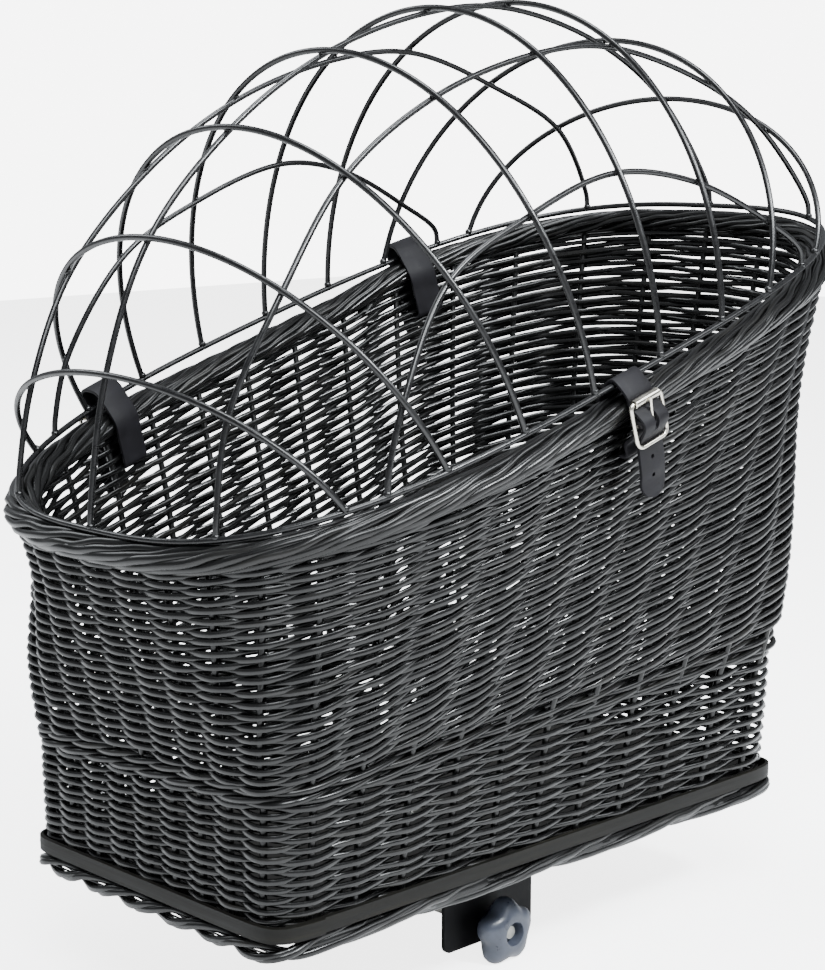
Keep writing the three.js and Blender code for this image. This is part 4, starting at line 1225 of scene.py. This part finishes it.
@dataclass
class WireDome:
    """Ring, hoops and long wires of the dome, with sizes in mm and shares of the ring."""

    shape: BasketShape
    finishes: Finishes
    wire_radius: float = 1.5
    coating: float = 0.32
    thin_coating: float = 0.7
    rise: float = 192.0
    sides: int = 10
    # One value for each hoop, from the low end to the high end
    stations: Row = (-0.77, -0.57, -0.383, -0.1875, 0.0195, 0.23, 0.414, 0.674)
    rises: Row = (0.41, 0.7, 0.875, 0.975, 1.0, 0.94, 0.79, 0.515)
    leans: Row = (-38.9, -31.9, -22.1, -13.8, -4.8, -1.0, 14.6, 20.6)
    inner: Row = (0.65, 0.6, 0.52, 0.5, 0.5, 0.51, 0.56, 0.6)
    # The low wires miss the first and the last hoop
    outer: Row = (0.95, 0.86, 0.85, 0.85, 0.9, 0.96)
    inner_feet: Pair = (-0.945, 0.93)
    outer_feet: Pair = (-0.695, 0.586)
    foot_bend: float = 11.0
    hoop_weld: Pair = (1.4, 2.4)
    foot_weld: Pair = (1.6, 2.3)
    cross_weld: float = 2.0
    welds: RodBundle = field(default_factory=lambda: RodBundle(Seed.WELDS))

    def hoop(self, index: int, angle: Array) -> Array:
        """Works out points of one hoop.

        Args:
            index: number of the hoop.
            angle: 0 at its near foot to pi at its far foot.

        Returns:
            Points in mm, of shape (n, 3).
        """
        foot = self.on_ring(self.stations[index], 1.0)
        lean = math.radians(self.leans[index])
        up = np.array([math.sin(lean), 0.0, math.cos(lean)])
        height = self.rise * self.rises[index] * np.sin(angle)
        return foot * (1.0, 0.0, 1.0) + np.outer(height, up) - np.outer(foot[1] * np.cos(angle), CROSSWISE)

    def on_ring(self, share: float, side: float) -> Array:
        """Middle of the ring wire at a share of its half length, on one side."""
        return self.shape.ring_point(self.shape.rim_shift + share * self.shape.ring_half[0], side)

    def weld(self, middle: Array, radius: float) -> None:
        """Adds a small bead of weld.

        Args:
            middle: its middle in mm.
            radius: its radius in mm.
        """
        steps = np.linspace(-1, 1, 7)
        path = middle + self.shape.offset + np.outer(steps * radius, UP)
        self.welds.sweep(path, radius * np.sqrt(np.maximum(1 - steps ** 2, 0.02)), LENGTHWISE, sides=8)

    def long_wire(self, picks: list[int], shares: Row, side: float,
                  feet: list[Array]) -> Array:
        """Lays a wire along the inside of the hoops and welds it to each.

        Args:
            picks: numbers of the hoops that it meets.
            shares: how far out on each hoop it lies, 0 at the crown to 1 at the foot.
            side: -1 for the near side, 1 for the far side.
            feet: where on the ring it starts and ends.

        Returns:
            Middle line in mm, of shape (n, 3).
        """
        marks = []
        for index, share in zip(picks, shares):
            angle = np.array([math.acos(-side * share)])
            run = unit(self.hoop(index, angle + 0.01)[0] - self.hoop(index, angle - 0.01)[0])
            marks.append((self.hoop(index, angle)[0], run))
        inside = []
        for i, (point, run) in enumerate(marks):
            ahead = marks[min(i + 1, len(marks) - 1)][0] - marks[max(i - 1, 0)][0]
            out = unit(np.cross(ahead, run))
            if np.dot(out, point - np.array([point[0], 0.0, self.shape.rim_height])) < 0:
                out = -out
            inside.append(point - out * 2 * self.wire_radius)
            self.weld(point - out * self.wire_radius, self.cross_weld)
        height, bead = self.foot_weld
        lifts = []
        for foot, near in zip(feet, (inside[0], inside[-1])):
            upright = unit(unit(near - foot) + 2 * UP)
            lifts.append([foot + upright * self.wire_radius, foot + upright * self.foot_bend])
            self.weld(foot + upright * height, bead)
        return curve_through([*lifts[0], *inside, lifts[1][1], lifts[1][0]], 16)

    def add_wire(self, name: str, node: str, seed: int, path: Array, radius: float, up: Array,
                 **options: int) -> None:
        """Makes one wire of the dome in place of the solid model's.

        Args:
            name: the piece's name.
            node: the node that it stands for.
            seed: start of its random draws.
            path: middle line in mm.
            radius: in mm.
            up: as sweep() takes it.
            options: other things that sweep() takes.
        """
        bundle = RodBundle(seed)
        bundle.sweep(path + self.shape.offset, radius, up, **options)
        bundle.make(name, self.finishes["wire"], "dome", "wire", node)

    def build(self) -> None:
        """Builds the ring, then the hoops, then the wires that run along them, and last their welds."""
        shape = self.shape
        flat = superellipse(shape.ring_half, shape.rim_power, shape.rim_shift, 360)[:-1]
        ring = np.column_stack([flat, shape.rim_plane(flat[:, 0]) + shape.ring_lift(flat[:, 0])])
        self.add_wire("ring_wire", "dome_ring", Seed.RING, ring, shape.ring_radius, UP,
                      closed=True, sides=12)
        lift, bead = self.hoop_weld
        for index, degrees in enumerate(self.leans):
            path = self.hoop(index, np.linspace(0.006, math.pi - 0.006, 96))
            lean = math.radians(degrees)
            self.add_wire(f"hoop_wire_{index + 1}", f"dome_hoop_{index + 1}", Seed.HOOPS + index, path,
                          self.wire_radius + self.coating, np.array([math.cos(lean), 0.0, -math.sin(lean)]),
                          sides=self.sides)
            for end in (path[0], path[-1]):
                self.weld(end + lift * UP, bead)
        every = list(range(len(self.stations)))
        runs = [("long_wire_centre", "dome_long_centre", every, (0.0,) * len(every), 1.0, (-1, 1))]
        for label, side in (("near", -1.0), ("far", 1.0)):
            runs += [
                (f"long_wire_{label}", f"dome_long_{label}", every, self.inner, side, self.inner_feet),
                (f"low_wire_{label}", f"dome_low_{label}", every[1:-1], self.outer, side, self.outer_feet)]
        for name, node, picks, shares, side, ends in runs:
            feet = [self.on_ring(end, side) for end in ends]
            if node == "dome_long_centre":
                feet = [foot * (1.0, 0.0, 1.0) for foot in feet]
            self.add_wire(name, node, Seed.LONG_WIRES, self.long_wire(picks, shares, side, feet),
                          self.wire_radius + self.coating * self.thin_coating, CROSSWISE + 0.02 * UP,
                          sides=self.sides)
        self.welds.make("welds", self.finishes["wire"], "dome", "wire")


@dataclass
class BuckledStrap:
    """One leather strap with its roller buckle, with sizes in mm."""

    shape: BasketShape
    finishes: Finishes
    name: str
    station: float
    side: Side
    slack: float
    width: float = 20.0
    thickness: float = 2.0
    slot_drop: float = 27.0
    tail_drop: float = 53.0
    tip: float = 10.0
    buckle_out: float = 14.7
    pitch: float = 12.5
    bar_drop: float = 7.5
    wire: float = 1.25
    side_room: float = 1.2
    corners: Pair = (2.6, 4.6)
    roller_radius: float = 2.5
    roller_length: float = 19.8
    roller_room: float = 0.45
    pin_radius: float = 1.0
    pin_room: float = 0.35
    pin_slot: float = 1.5
    punched: Row = (-29.0, -40.0)
    punch_radius: float = 1.3
    punch_sides: int = 14
    origin: Array = field(init=False)
    axes: Array = field(init=False)

    def __post_init__(self) -> None:
        """Finds the strap's own frame on the rim border: along it, outwards and up."""
        half = self.width / 2
        side = self.side.value
        before = self.shape.ring_point(self.station - half, side)
        after = self.shape.ring_point(self.station + half, side)
        plan = unit(np.array([after[0] - before[0], after[1] - before[1], 0.0]))
        out = np.array([-plan[1], plan[0], 0.0]) * side
        along = unit(np.array([plan[0], plan[1], self.shape.rim_slope * plan[0]])) * side
        self.axes = np.stack([along, out, np.cross(along, out)], axis=1)
        self.origin = self.shape.offset + np.array([
            self.station, side * self.shape.rim_middle(self.station), self.shape.rim_plane(self.station)])

    @property
    def bar(self) -> float:
        """Height of the buckle's middle bar; the roller lies a pitch above it."""
        return -self.bar_drop

    @property
    def roller(self) -> float:
        """Height of the roller."""
        return self.bar + self.pitch

    def place(self, points: list | Array) -> Array:
        """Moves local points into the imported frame."""
        return self.origin + np.asarray(points, dtype=float) @ self.axes.T

    def route(self) -> list[Array]:
        """The strap's middle line, from its hook on the bar round to its tip.

        Returns:
            Local points in mm.
        """
        seat = self.shape.seat
        half = self.thickness / 2
        bar, roller = self.bar, self.roller
        keeper = bar - self.pitch
        hook = self.wire + seat + half

        def about(height: float, radius: float, degrees: float) -> list[float]:
            """A point round a bar of the buckle."""
            angle = math.radians(degrees)
            return [self.buckle_out + radius * math.cos(angle), height + radius * math.sin(angle)]

        def between(a: list[float], b: list[float]) -> list[float]:
            """The point halfway."""
            return [(a[0] + b[0]) / 2, (a[1] + b[1]) / 2]

        border_half, border_top = self.shape.border_half_width, self.shape.border_half_height
        over, ring_radius = self.shape.ring_overhang, self.shape.ring_radius
        ring_up = self.shape.ring_lift(self.station) / math.hypot(1, self.shape.rim_slope)
        turn = 3 * half
        inside = -(border_half + 2 * seat + half)
        slot = -self.slot_drop
        back = self.buckle_out - hook
        crest = ring_up + ring_radius + seat + half + self.slack
        drift = self.slack + half
        shoulder = ring_radius + seat + 2 * half
        behind = about(roller, self.roller_radius + seat + half, 180)
        leave = about(roller, self.roller_radius + seat + half, 216)
        bar_turn = hook + 2 * half + seat
        meet = about(bar, bar_turn, 36)
        depart = about(bar, bar_turn, -36)
        tuck = about(keeper, hook, 144)
        out = about(keeper, hook, 190)
        pairs = [
            *(about(bar, hook, degrees) for degrees in (-20, 20, 60, 100, 140, 180)),
            # Down behind the buckle and in through the wall
            [back - half / 2, bar - turn], [back - turn, bar - 2.4 * turn],
            [back - 3 * turn, slot + 2.4 * turn], [border_half / 4, slot + half / 2],
            [-border_half / 4, slot], [inside + turn, slot],
            # Up inside, over the border and the ring
            [inside + half / 2, slot + turn / 2], [inside, slot + 2 * turn], [inside, -border_top],
            [inside, border_top / 4],
            [(inside + over - shoulder) / 2, (ring_up + self.slack) / 2 + border_top / 3],
            [over - shoulder, crest - shoulder / 2], [over - half / 2, crest], [over + drift, crest],
            [min(over + drift + shoulder, behind[0] + half / 2), crest - shoulder / 1.4 - half],
            # Down through the buckle, behind the roller and in front of the bar, to the tail
            [behind[0], roller + self.roller_radius], behind, leave, between(leave, meet), meet,
            about(bar, bar_turn, 0), depart, between(depart, tuck), tuck, out,
            [out[0] - turn / 2, (keeper - self.tail_drop) / 2], [out[0] - turn, self.tip - self.tail_drop],
            [out[0] - turn, -self.tail_drop],
        ]
        return [np.array([0.0, *pair]) for pair in pairs]

    def build_strap(self) -> None:
        """The leather, with eased edges, a rounded tip and punched holes."""
        line = curve_through(self.route(), 6)
        reach = totals(np.linalg.norm(np.diff(line, axis=0), axis=1))
        left = reach[-1] - reach
        half = self.width / 2
        rounded = half * np.sqrt(np.maximum(1 - ((self.tip - left) / self.tip) ** 2, 0.015))
        wide = np.where(left < self.tip, rounded, half)
        along = unit(np.vstack([line[1:] - line[:-1], line[-1:] - line[-2:-1]]))
        face = np.cross(along, LENGTHWISE)
        thin = self.thickness / 2
        eased = [(-1, -0.45), (-0.985, -0.85), (-0.95, -1), (0.95, -1), (0.985, -0.85), (1, -0.45)]
        profile = eased + [(-a, -b) for a, b in eased]
        rings = [self.place([p + LENGTHWISE * (w * a) + f * (thin * b) for a, b in profile])
                 for p, w, f in zip(line, wide, face)]
        piece = ring_skin(f"leather_{self.name}", rings, closed=False)
        self.punch(piece)
        complete(piece, self.finishes["leather"], 40, "basket", "leather", f"strap_{self.name}")

    def punch(self, piece: Piece) -> None:
        """Cuts the slot for the pin and the row of holes in the tail.

        Args:
            piece: the leather.
        """
        out, bar = self.buckle_out, self.bar
        reach = self.wire + self.thickness + 2 * self.shape.seat
        verts: list[Place] = []
        faces: list[tuple[int, ...]] = []
        for depths, heights in (((out - reach, out + reach - 0.15), (bar - reach, bar + reach)),
                                ((out + reach - 0.6, out + reach + 6), (bar - 5.4, bar + 8.7))):
            start = len(verts)
            verts += product((-self.pin_slot, self.pin_slot), depths, heights)
            faces += [tuple(start + corner for corner in side) for side in BOX_SIDES]
        n = self.punch_sides
        for height in self.punched:
            start = len(verts)
            verts += [(x, y, height + z) for y in (out - 8, out + 6)
                      for x, z in circle(n) * self.punch_radius]
            faces += [(start + j, start + n + j, start + n + (j + 1) % n, start + (j + 1) % n)
                      for j in range(n)]
            faces += [tuple(range(start, start + n)), tuple(reversed(range(start + n, start + 2 * n)))]
        tool = add_piece("punch", self.place(verts), faces)
        face_outward(tool)
        cut = piece.modifiers.new("cut", "BOOLEAN")
        configure(cut, object=tool, operation="DIFFERENCE", solver="EXACT", use_self=True)
        pick_only(piece)
        bpy.ops.object.modifier_apply(modifier=cut.name)
        bpy.data.objects.remove(tool)

    def build_frame(self) -> None:
        """The buckle's frame: one bent wire and its middle bar."""
        out, bar = self.buckle_out, self.bar
        half = self.width / 2 + self.side_room + self.wire
        top, bottom = self.corners
        loop = []
        for i, (x, z, r) in enumerate(((1, 1, top), (-1, 1, top), (-1, -1, bottom), (1, -1, bottom))):
            for angle in np.linspace(i * math.pi / 2, (i + 1) * math.pi / 2, 8):
                loop.append([x * (half - r) + r * math.cos(angle), out,
                             bar + z * (self.pitch - r) + r * math.sin(angle)])
        bundle = RodBundle(Seed.BUCKLE)
        bundle.sweep(self.place(loop), self.wire, self.axes[:, 1], closed=True, sides=12)
        ends = [[-half, out, bar], [0, out, bar], [half, out, bar]]
        bundle.sweep(self.place(ends), self.wire * 0.98, self.axes[:, 1], sides=12)
        bundle.make(f"frame_{self.name}", self.finishes["nickel"],
                    "basket", "nickel", f"buckle_frame_{self.name}")

    def build_roller(self) -> None:
        """The roller of thin rolled sheet on the frame's top bar."""
        bore, rim = self.wire + self.roller_room, self.roller_radius - 0.3
        eased = [(1, bore), (1, rim), (0.97, self.roller_radius)]
        profile = [(-share, radius) for share, radius in eased] + eased[::-1]
        half, out = self.roller_length / 2, self.buckle_out
        rings = [self.place([[share * half, out + radius * c, self.roller + radius * s]
                             for c, s in circle(24)]) for share, radius in profile]
        name = f"roller_{self.name}"
        complete(ring_skin(name, rings), self.finishes["nickel"], 30, name, "nickel", f"buckle_{name}")

    def build_pin(self) -> None:
        """The pin: an eye of wire round the middle bar, and a shaft that rests on the roller."""
        out, bar = self.buckle_out, self.bar
        eye = self.wire + self.pin_room + self.pin_radius
        tip = self.roller_radius + self.shape.seat + self.pin_radius
        bundle = RodBundle(Seed.PIN)
        loop = [[0.0, out + eye * c, bar + eye * s] for c, s in circle(24)]
        bundle.sweep(self.place(loop), self.pin_radius, self.axes[:, 0], closed=True, sides=10)
        shaft = curve_through([np.array([0.0, out + eye, bar]),
                               np.array([0.0, out + (3 * eye + tip) / 4, bar + self.pitch / 2]),
                               np.array([0.0, out + tip, self.roller + self.pin_radius])], 8)
        radii = self.pin_radius * np.linspace(1, 0.8, len(shaft))
        bundle.sweep(self.place(shaft), radii, self.axes[:, 0], sides=10)
        name = f"pin_{self.name}"
        bundle.make(name, self.finishes["nickel"], name, "nickel", f"buckle_{name}")

    def build(self) -> None:
        """Builds the strap and its buckle."""
        self.build_strap()
        self.build_frame()
        self.build_roller()
        self.build_pin()


@dataclass
class CarrierClamp:
    """Clamp under the floor: plates, rod, nut, washer, knob and bolts, with sizes in mm."""

    shape: BasketShape
    finishes: Finishes
    span: float = 108.0
    plate: float = 2.5
    rod_drop: float = 50.0
    rod_radius: float = 3.9
    rod_chamfer: float = 0.4
    thread_pitch: float = 1.25
    thread_depth: float = 0.6
    knob_radius: float = 21.0
    knob_length: float = 20.0
    knob_lobes: int = 5
    knob_boss: float = 10.0
    knob_bore: float = 4.3
    knob_recess: float = 7.0
    lobe_depth: float = 0.2
    lobe_power: float = 1.15
    washer: float = 1.6

    def knob_profile(self) -> list[Place]:
        """The knob's outline from its bore round to its bore.

        Returns:
            Radius in mm, share of its length and share of the lobes, for each ring.
        """
        full, boss, recess = self.knob_radius, self.knob_boss, self.knob_recess
        return [
            (self.knob_bore, 0.0, 0.0), (boss - 0.6, 0.0, 0.0), (boss, 0.03, 0.0), (boss, 0.17, 0.0),
            (0.7 * full, 0.2, 0.5), (0.86 * full, 0.26, 0.8), (0.96 * full, 0.36, 0.95), (full, 0.5, 1.0),
            (0.985 * full, 0.64, 0.97), (0.94 * full, 0.73, 0.9), (0.84 * full, 0.83, 0.75),
            (0.7 * full, 0.92, 0.5), (0.54 * full, 0.975, 0.22), (recess + 1.2, 1.0, 0.05),
            (recess + 0.3, 0.99, 0.0), (recess, 0.95, 0.0), (recess - 0.3, 0.62, 0.0),
            (self.knob_bore, 0.6, 0.0)]

    def build_knob(self) -> None:
        """Star knob with rounded lobes and a domed front."""
        back = -self.span / 2 - self.plate - 2 * self.shape.seat - self.washer
        rings = []
        for radius, share, lobe in self.knob_profile():
            ring = []
            for angle in np.linspace(0, 2 * math.pi, 100, endpoint=False):
                wave = 0.5 - 0.5 * math.cos(self.knob_lobes * angle)
                reach = radius * (1 - self.lobe_depth * lobe * wave ** self.lobe_power)
                ring.append([reach * math.sin(angle), back - self.knob_length * share,
                             -self.rod_drop + reach * math.cos(angle)])
            rings.append(np.array(ring) + self.shape.offset)
        complete(ring_skin("star_knob", rings), self.finishes["knob"], 40,
                 "knob", "knob_plastic", "clamp_knob")

    def build_rod(self) -> None:
        """Threaded rod."""
        offset = self.shape.offset
        low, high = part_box("clamp_rod")
        chamfer = self.rod_chamfer
        y = np.arange(low[1] / MM + chamfer, high[1] / MM - chamfer, self.thread_pitch / 2)
        radii = np.where(np.arange(len(y)) % 2 == 0, self.rod_radius, self.rod_radius - self.thread_depth)
        path = np.column_stack([np.full(len(y), offset[0]), y, np.full(len(y), offset[2] - self.rod_drop)])
        bundle = RodBundle(Seed.THREAD)
        bundle.sweep(path, radii, UP, sides=20)
        bundle.make("threaded_rod", self.finishes["zinc"], "basket", "zinc", "clamp_rod", angle=30)

    def build(self) -> None:
        """Builds the knob and the rod, and dresses the plates and fasteners."""
        self.build_knob()
        self.build_rod()
        for name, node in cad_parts.items():
            if name in ("clamp_saddle", "clamp_jaw"):
                dress(node, self.finishes["paint"])
            elif name.startswith(("clamp_nut", "clamp_washer", "floor_bolt", "floor_nut")):
                dress(node, self.finishes["zinc"])


@dataclass(frozen=True)
class Lamp:
    """A soft round lamp that faces the basket: its place and size in m, and its power in W."""

    name: str
    place: Place
    size: float
    power: float
    colour: Place = (0.93, 0.97, 1.0)
    aim: Place = (0.0, 0.0, 0.3)

    def light(self) -> None:
        """Hangs the lamp."""
        data = bpy.data.lights.new(self.name, "AREA")
        configure(data, shape="DISK", size=self.size, energy=self.power, color=self.colour)
        lamp = link_new(self.name, data)
        lamp.location = self.place
        lamp.rotation_euler = (Vector(self.aim) - Vector(self.place)).to_track_quat("-Z", "Y").to_euler()


@dataclass(frozen=True)
class Studio:
    """Floor, lights and camera."""

    shape: BasketShape
    finishes: Finishes
    camera_mm: Place = (-891.7, -912.6, 432.4)
    azimuth: float = 45.97
    elevation: float = -9.97
    focal_px: float = 2161.0
    image_height_px: float = 970.0
    shift_px: Pair = (0.5, 5.1)
    sensor: float = 36.0
    floor_size: float = 8.0
    floor_glow_seen: float = 3.5
    floor_glow: float = 0.3
    sky_glow_seen: float = 7.0
    sky_glow: float = 0.45
    lamps: tuple[Lamp, ...] = (
        Lamp("key", (0.2, -1.9, 2.1), 0.5, 125), Lamp("top", (0.0, 0.2, 2.6), 1.0, 50),
        Lamp("side", (-1.1, -1.4, 2.2), 1.3, 95), Lamp("fill", (1.3, -1.6, 1.8), 0.8, 20),
        Lamp("back", (-0.5, 1.9, 1.8), 1.0, 16))

    def place_camera(self) -> None:
        """Sets the camera at the photograph's viewpoint."""
        data = bpy.data.cameras.new("camera")
        configure(data, sensor_fit="VERTICAL", sensor_height=self.sensor, sensor_width=self.sensor,
                  lens=self.focal_px / self.image_height_px * self.sensor,
                  shift_x=self.shift_px[0] / self.image_height_px,
                  shift_y=self.shift_px[1] / self.image_height_px, clip_end=20.0)
        camera = link_new("camera", data)
        camera.location = Vector((np.array(self.camera_mm) + self.shape.offset) * MM)
        az, el = math.radians(self.azimuth), math.radians(self.elevation)
        look = Vector((math.cos(el) * math.cos(az), math.cos(el) * math.sin(az), math.sin(el)))
        camera.rotation_euler = look.to_track_quat("-Z", "Y").to_euler()
        bpy.context.scene.camera = camera

    def lay_floor(self) -> None:
        """Lays the card, which glows more to the camera than it lights the basket."""
        bpy.ops.object.select_all(action="DESELECT")
        bpy.ops.mesh.primitive_plane_add(size=self.floor_size, location=(0, 0, 0))
        floor = bpy.context.object
        floor.name = "studio_floor"
        card = self.finishes["floor"]
        seen = add_node(card.node_tree, "ShaderNodeLightPath", out="Is Camera Ray")
        glow = add_node(card.node_tree, "ShaderNodeMath", {
            0: seen, 1: self.floor_glow_seen, 2: self.floor_glow}, operation="MULTIPLY_ADD")
        feed(card.node_tree.nodes["Principled BSDF"], {
            "Emission Color": shade("ffffff"), "Emission Strength": glow})
        floor.data.materials.append(card)

    def hang_sky(self) -> None:
        """Puts a white backdrop behind the basket for the camera, and a dimmer cool glow round it."""
        world = bpy.data.worlds.new("studio")
        world.use_nodes = True
        tree = world.node_tree
        backdrop = tree.nodes["Background"]
        feed(backdrop, {"Color": shade("ffffff"), "Strength": self.sky_glow_seen})
        glow = add_node(tree, "ShaderNodeBackground", {"Color": shade("f0f4fa"), "Strength": self.sky_glow})
        seen = add_node(tree, "ShaderNodeLightPath", out="Is Camera Ray")
        mixed = add_node(tree, "ShaderNodeMixShader", {0: seen, 1: glow, 2: backdrop.outputs[0]})
        feed(tree.nodes["World Output"], {"Surface": mixed})
        bpy.context.scene.world = world

    def build(self) -> None:
        """Builds the studio round the basket."""
        self.place_camera()
        self.lay_floor()
        for lamp in self.lamps:
            lamp.light()
        self.hang_sky()


def main() -> None:
    """Builds the studio, then every piece of the basket in order."""
    logging.basicConfig(level=logging.INFO, format="%(message)s")
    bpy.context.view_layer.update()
    finishes = FinishSet().build()
    shape = BasketShape()
    Studio(shape, finishes).build()
    WovenBody(shape, finishes).build()
    WireDome(shape, finishes).build()
    for name, station, side, slack in (
            ("closing", -8.0, Side.NEAR, 0.0), ("hinge_low", -113.0, Side.FAR, 6.4),
            ("hinge_high", 142.0, Side.FAR, 6.4)):
        BuckledStrap(shape, finishes, name, station, side, slack).build()
    CarrierClamp(shape, finishes).build()


if __name__ == "__main__":
    main()
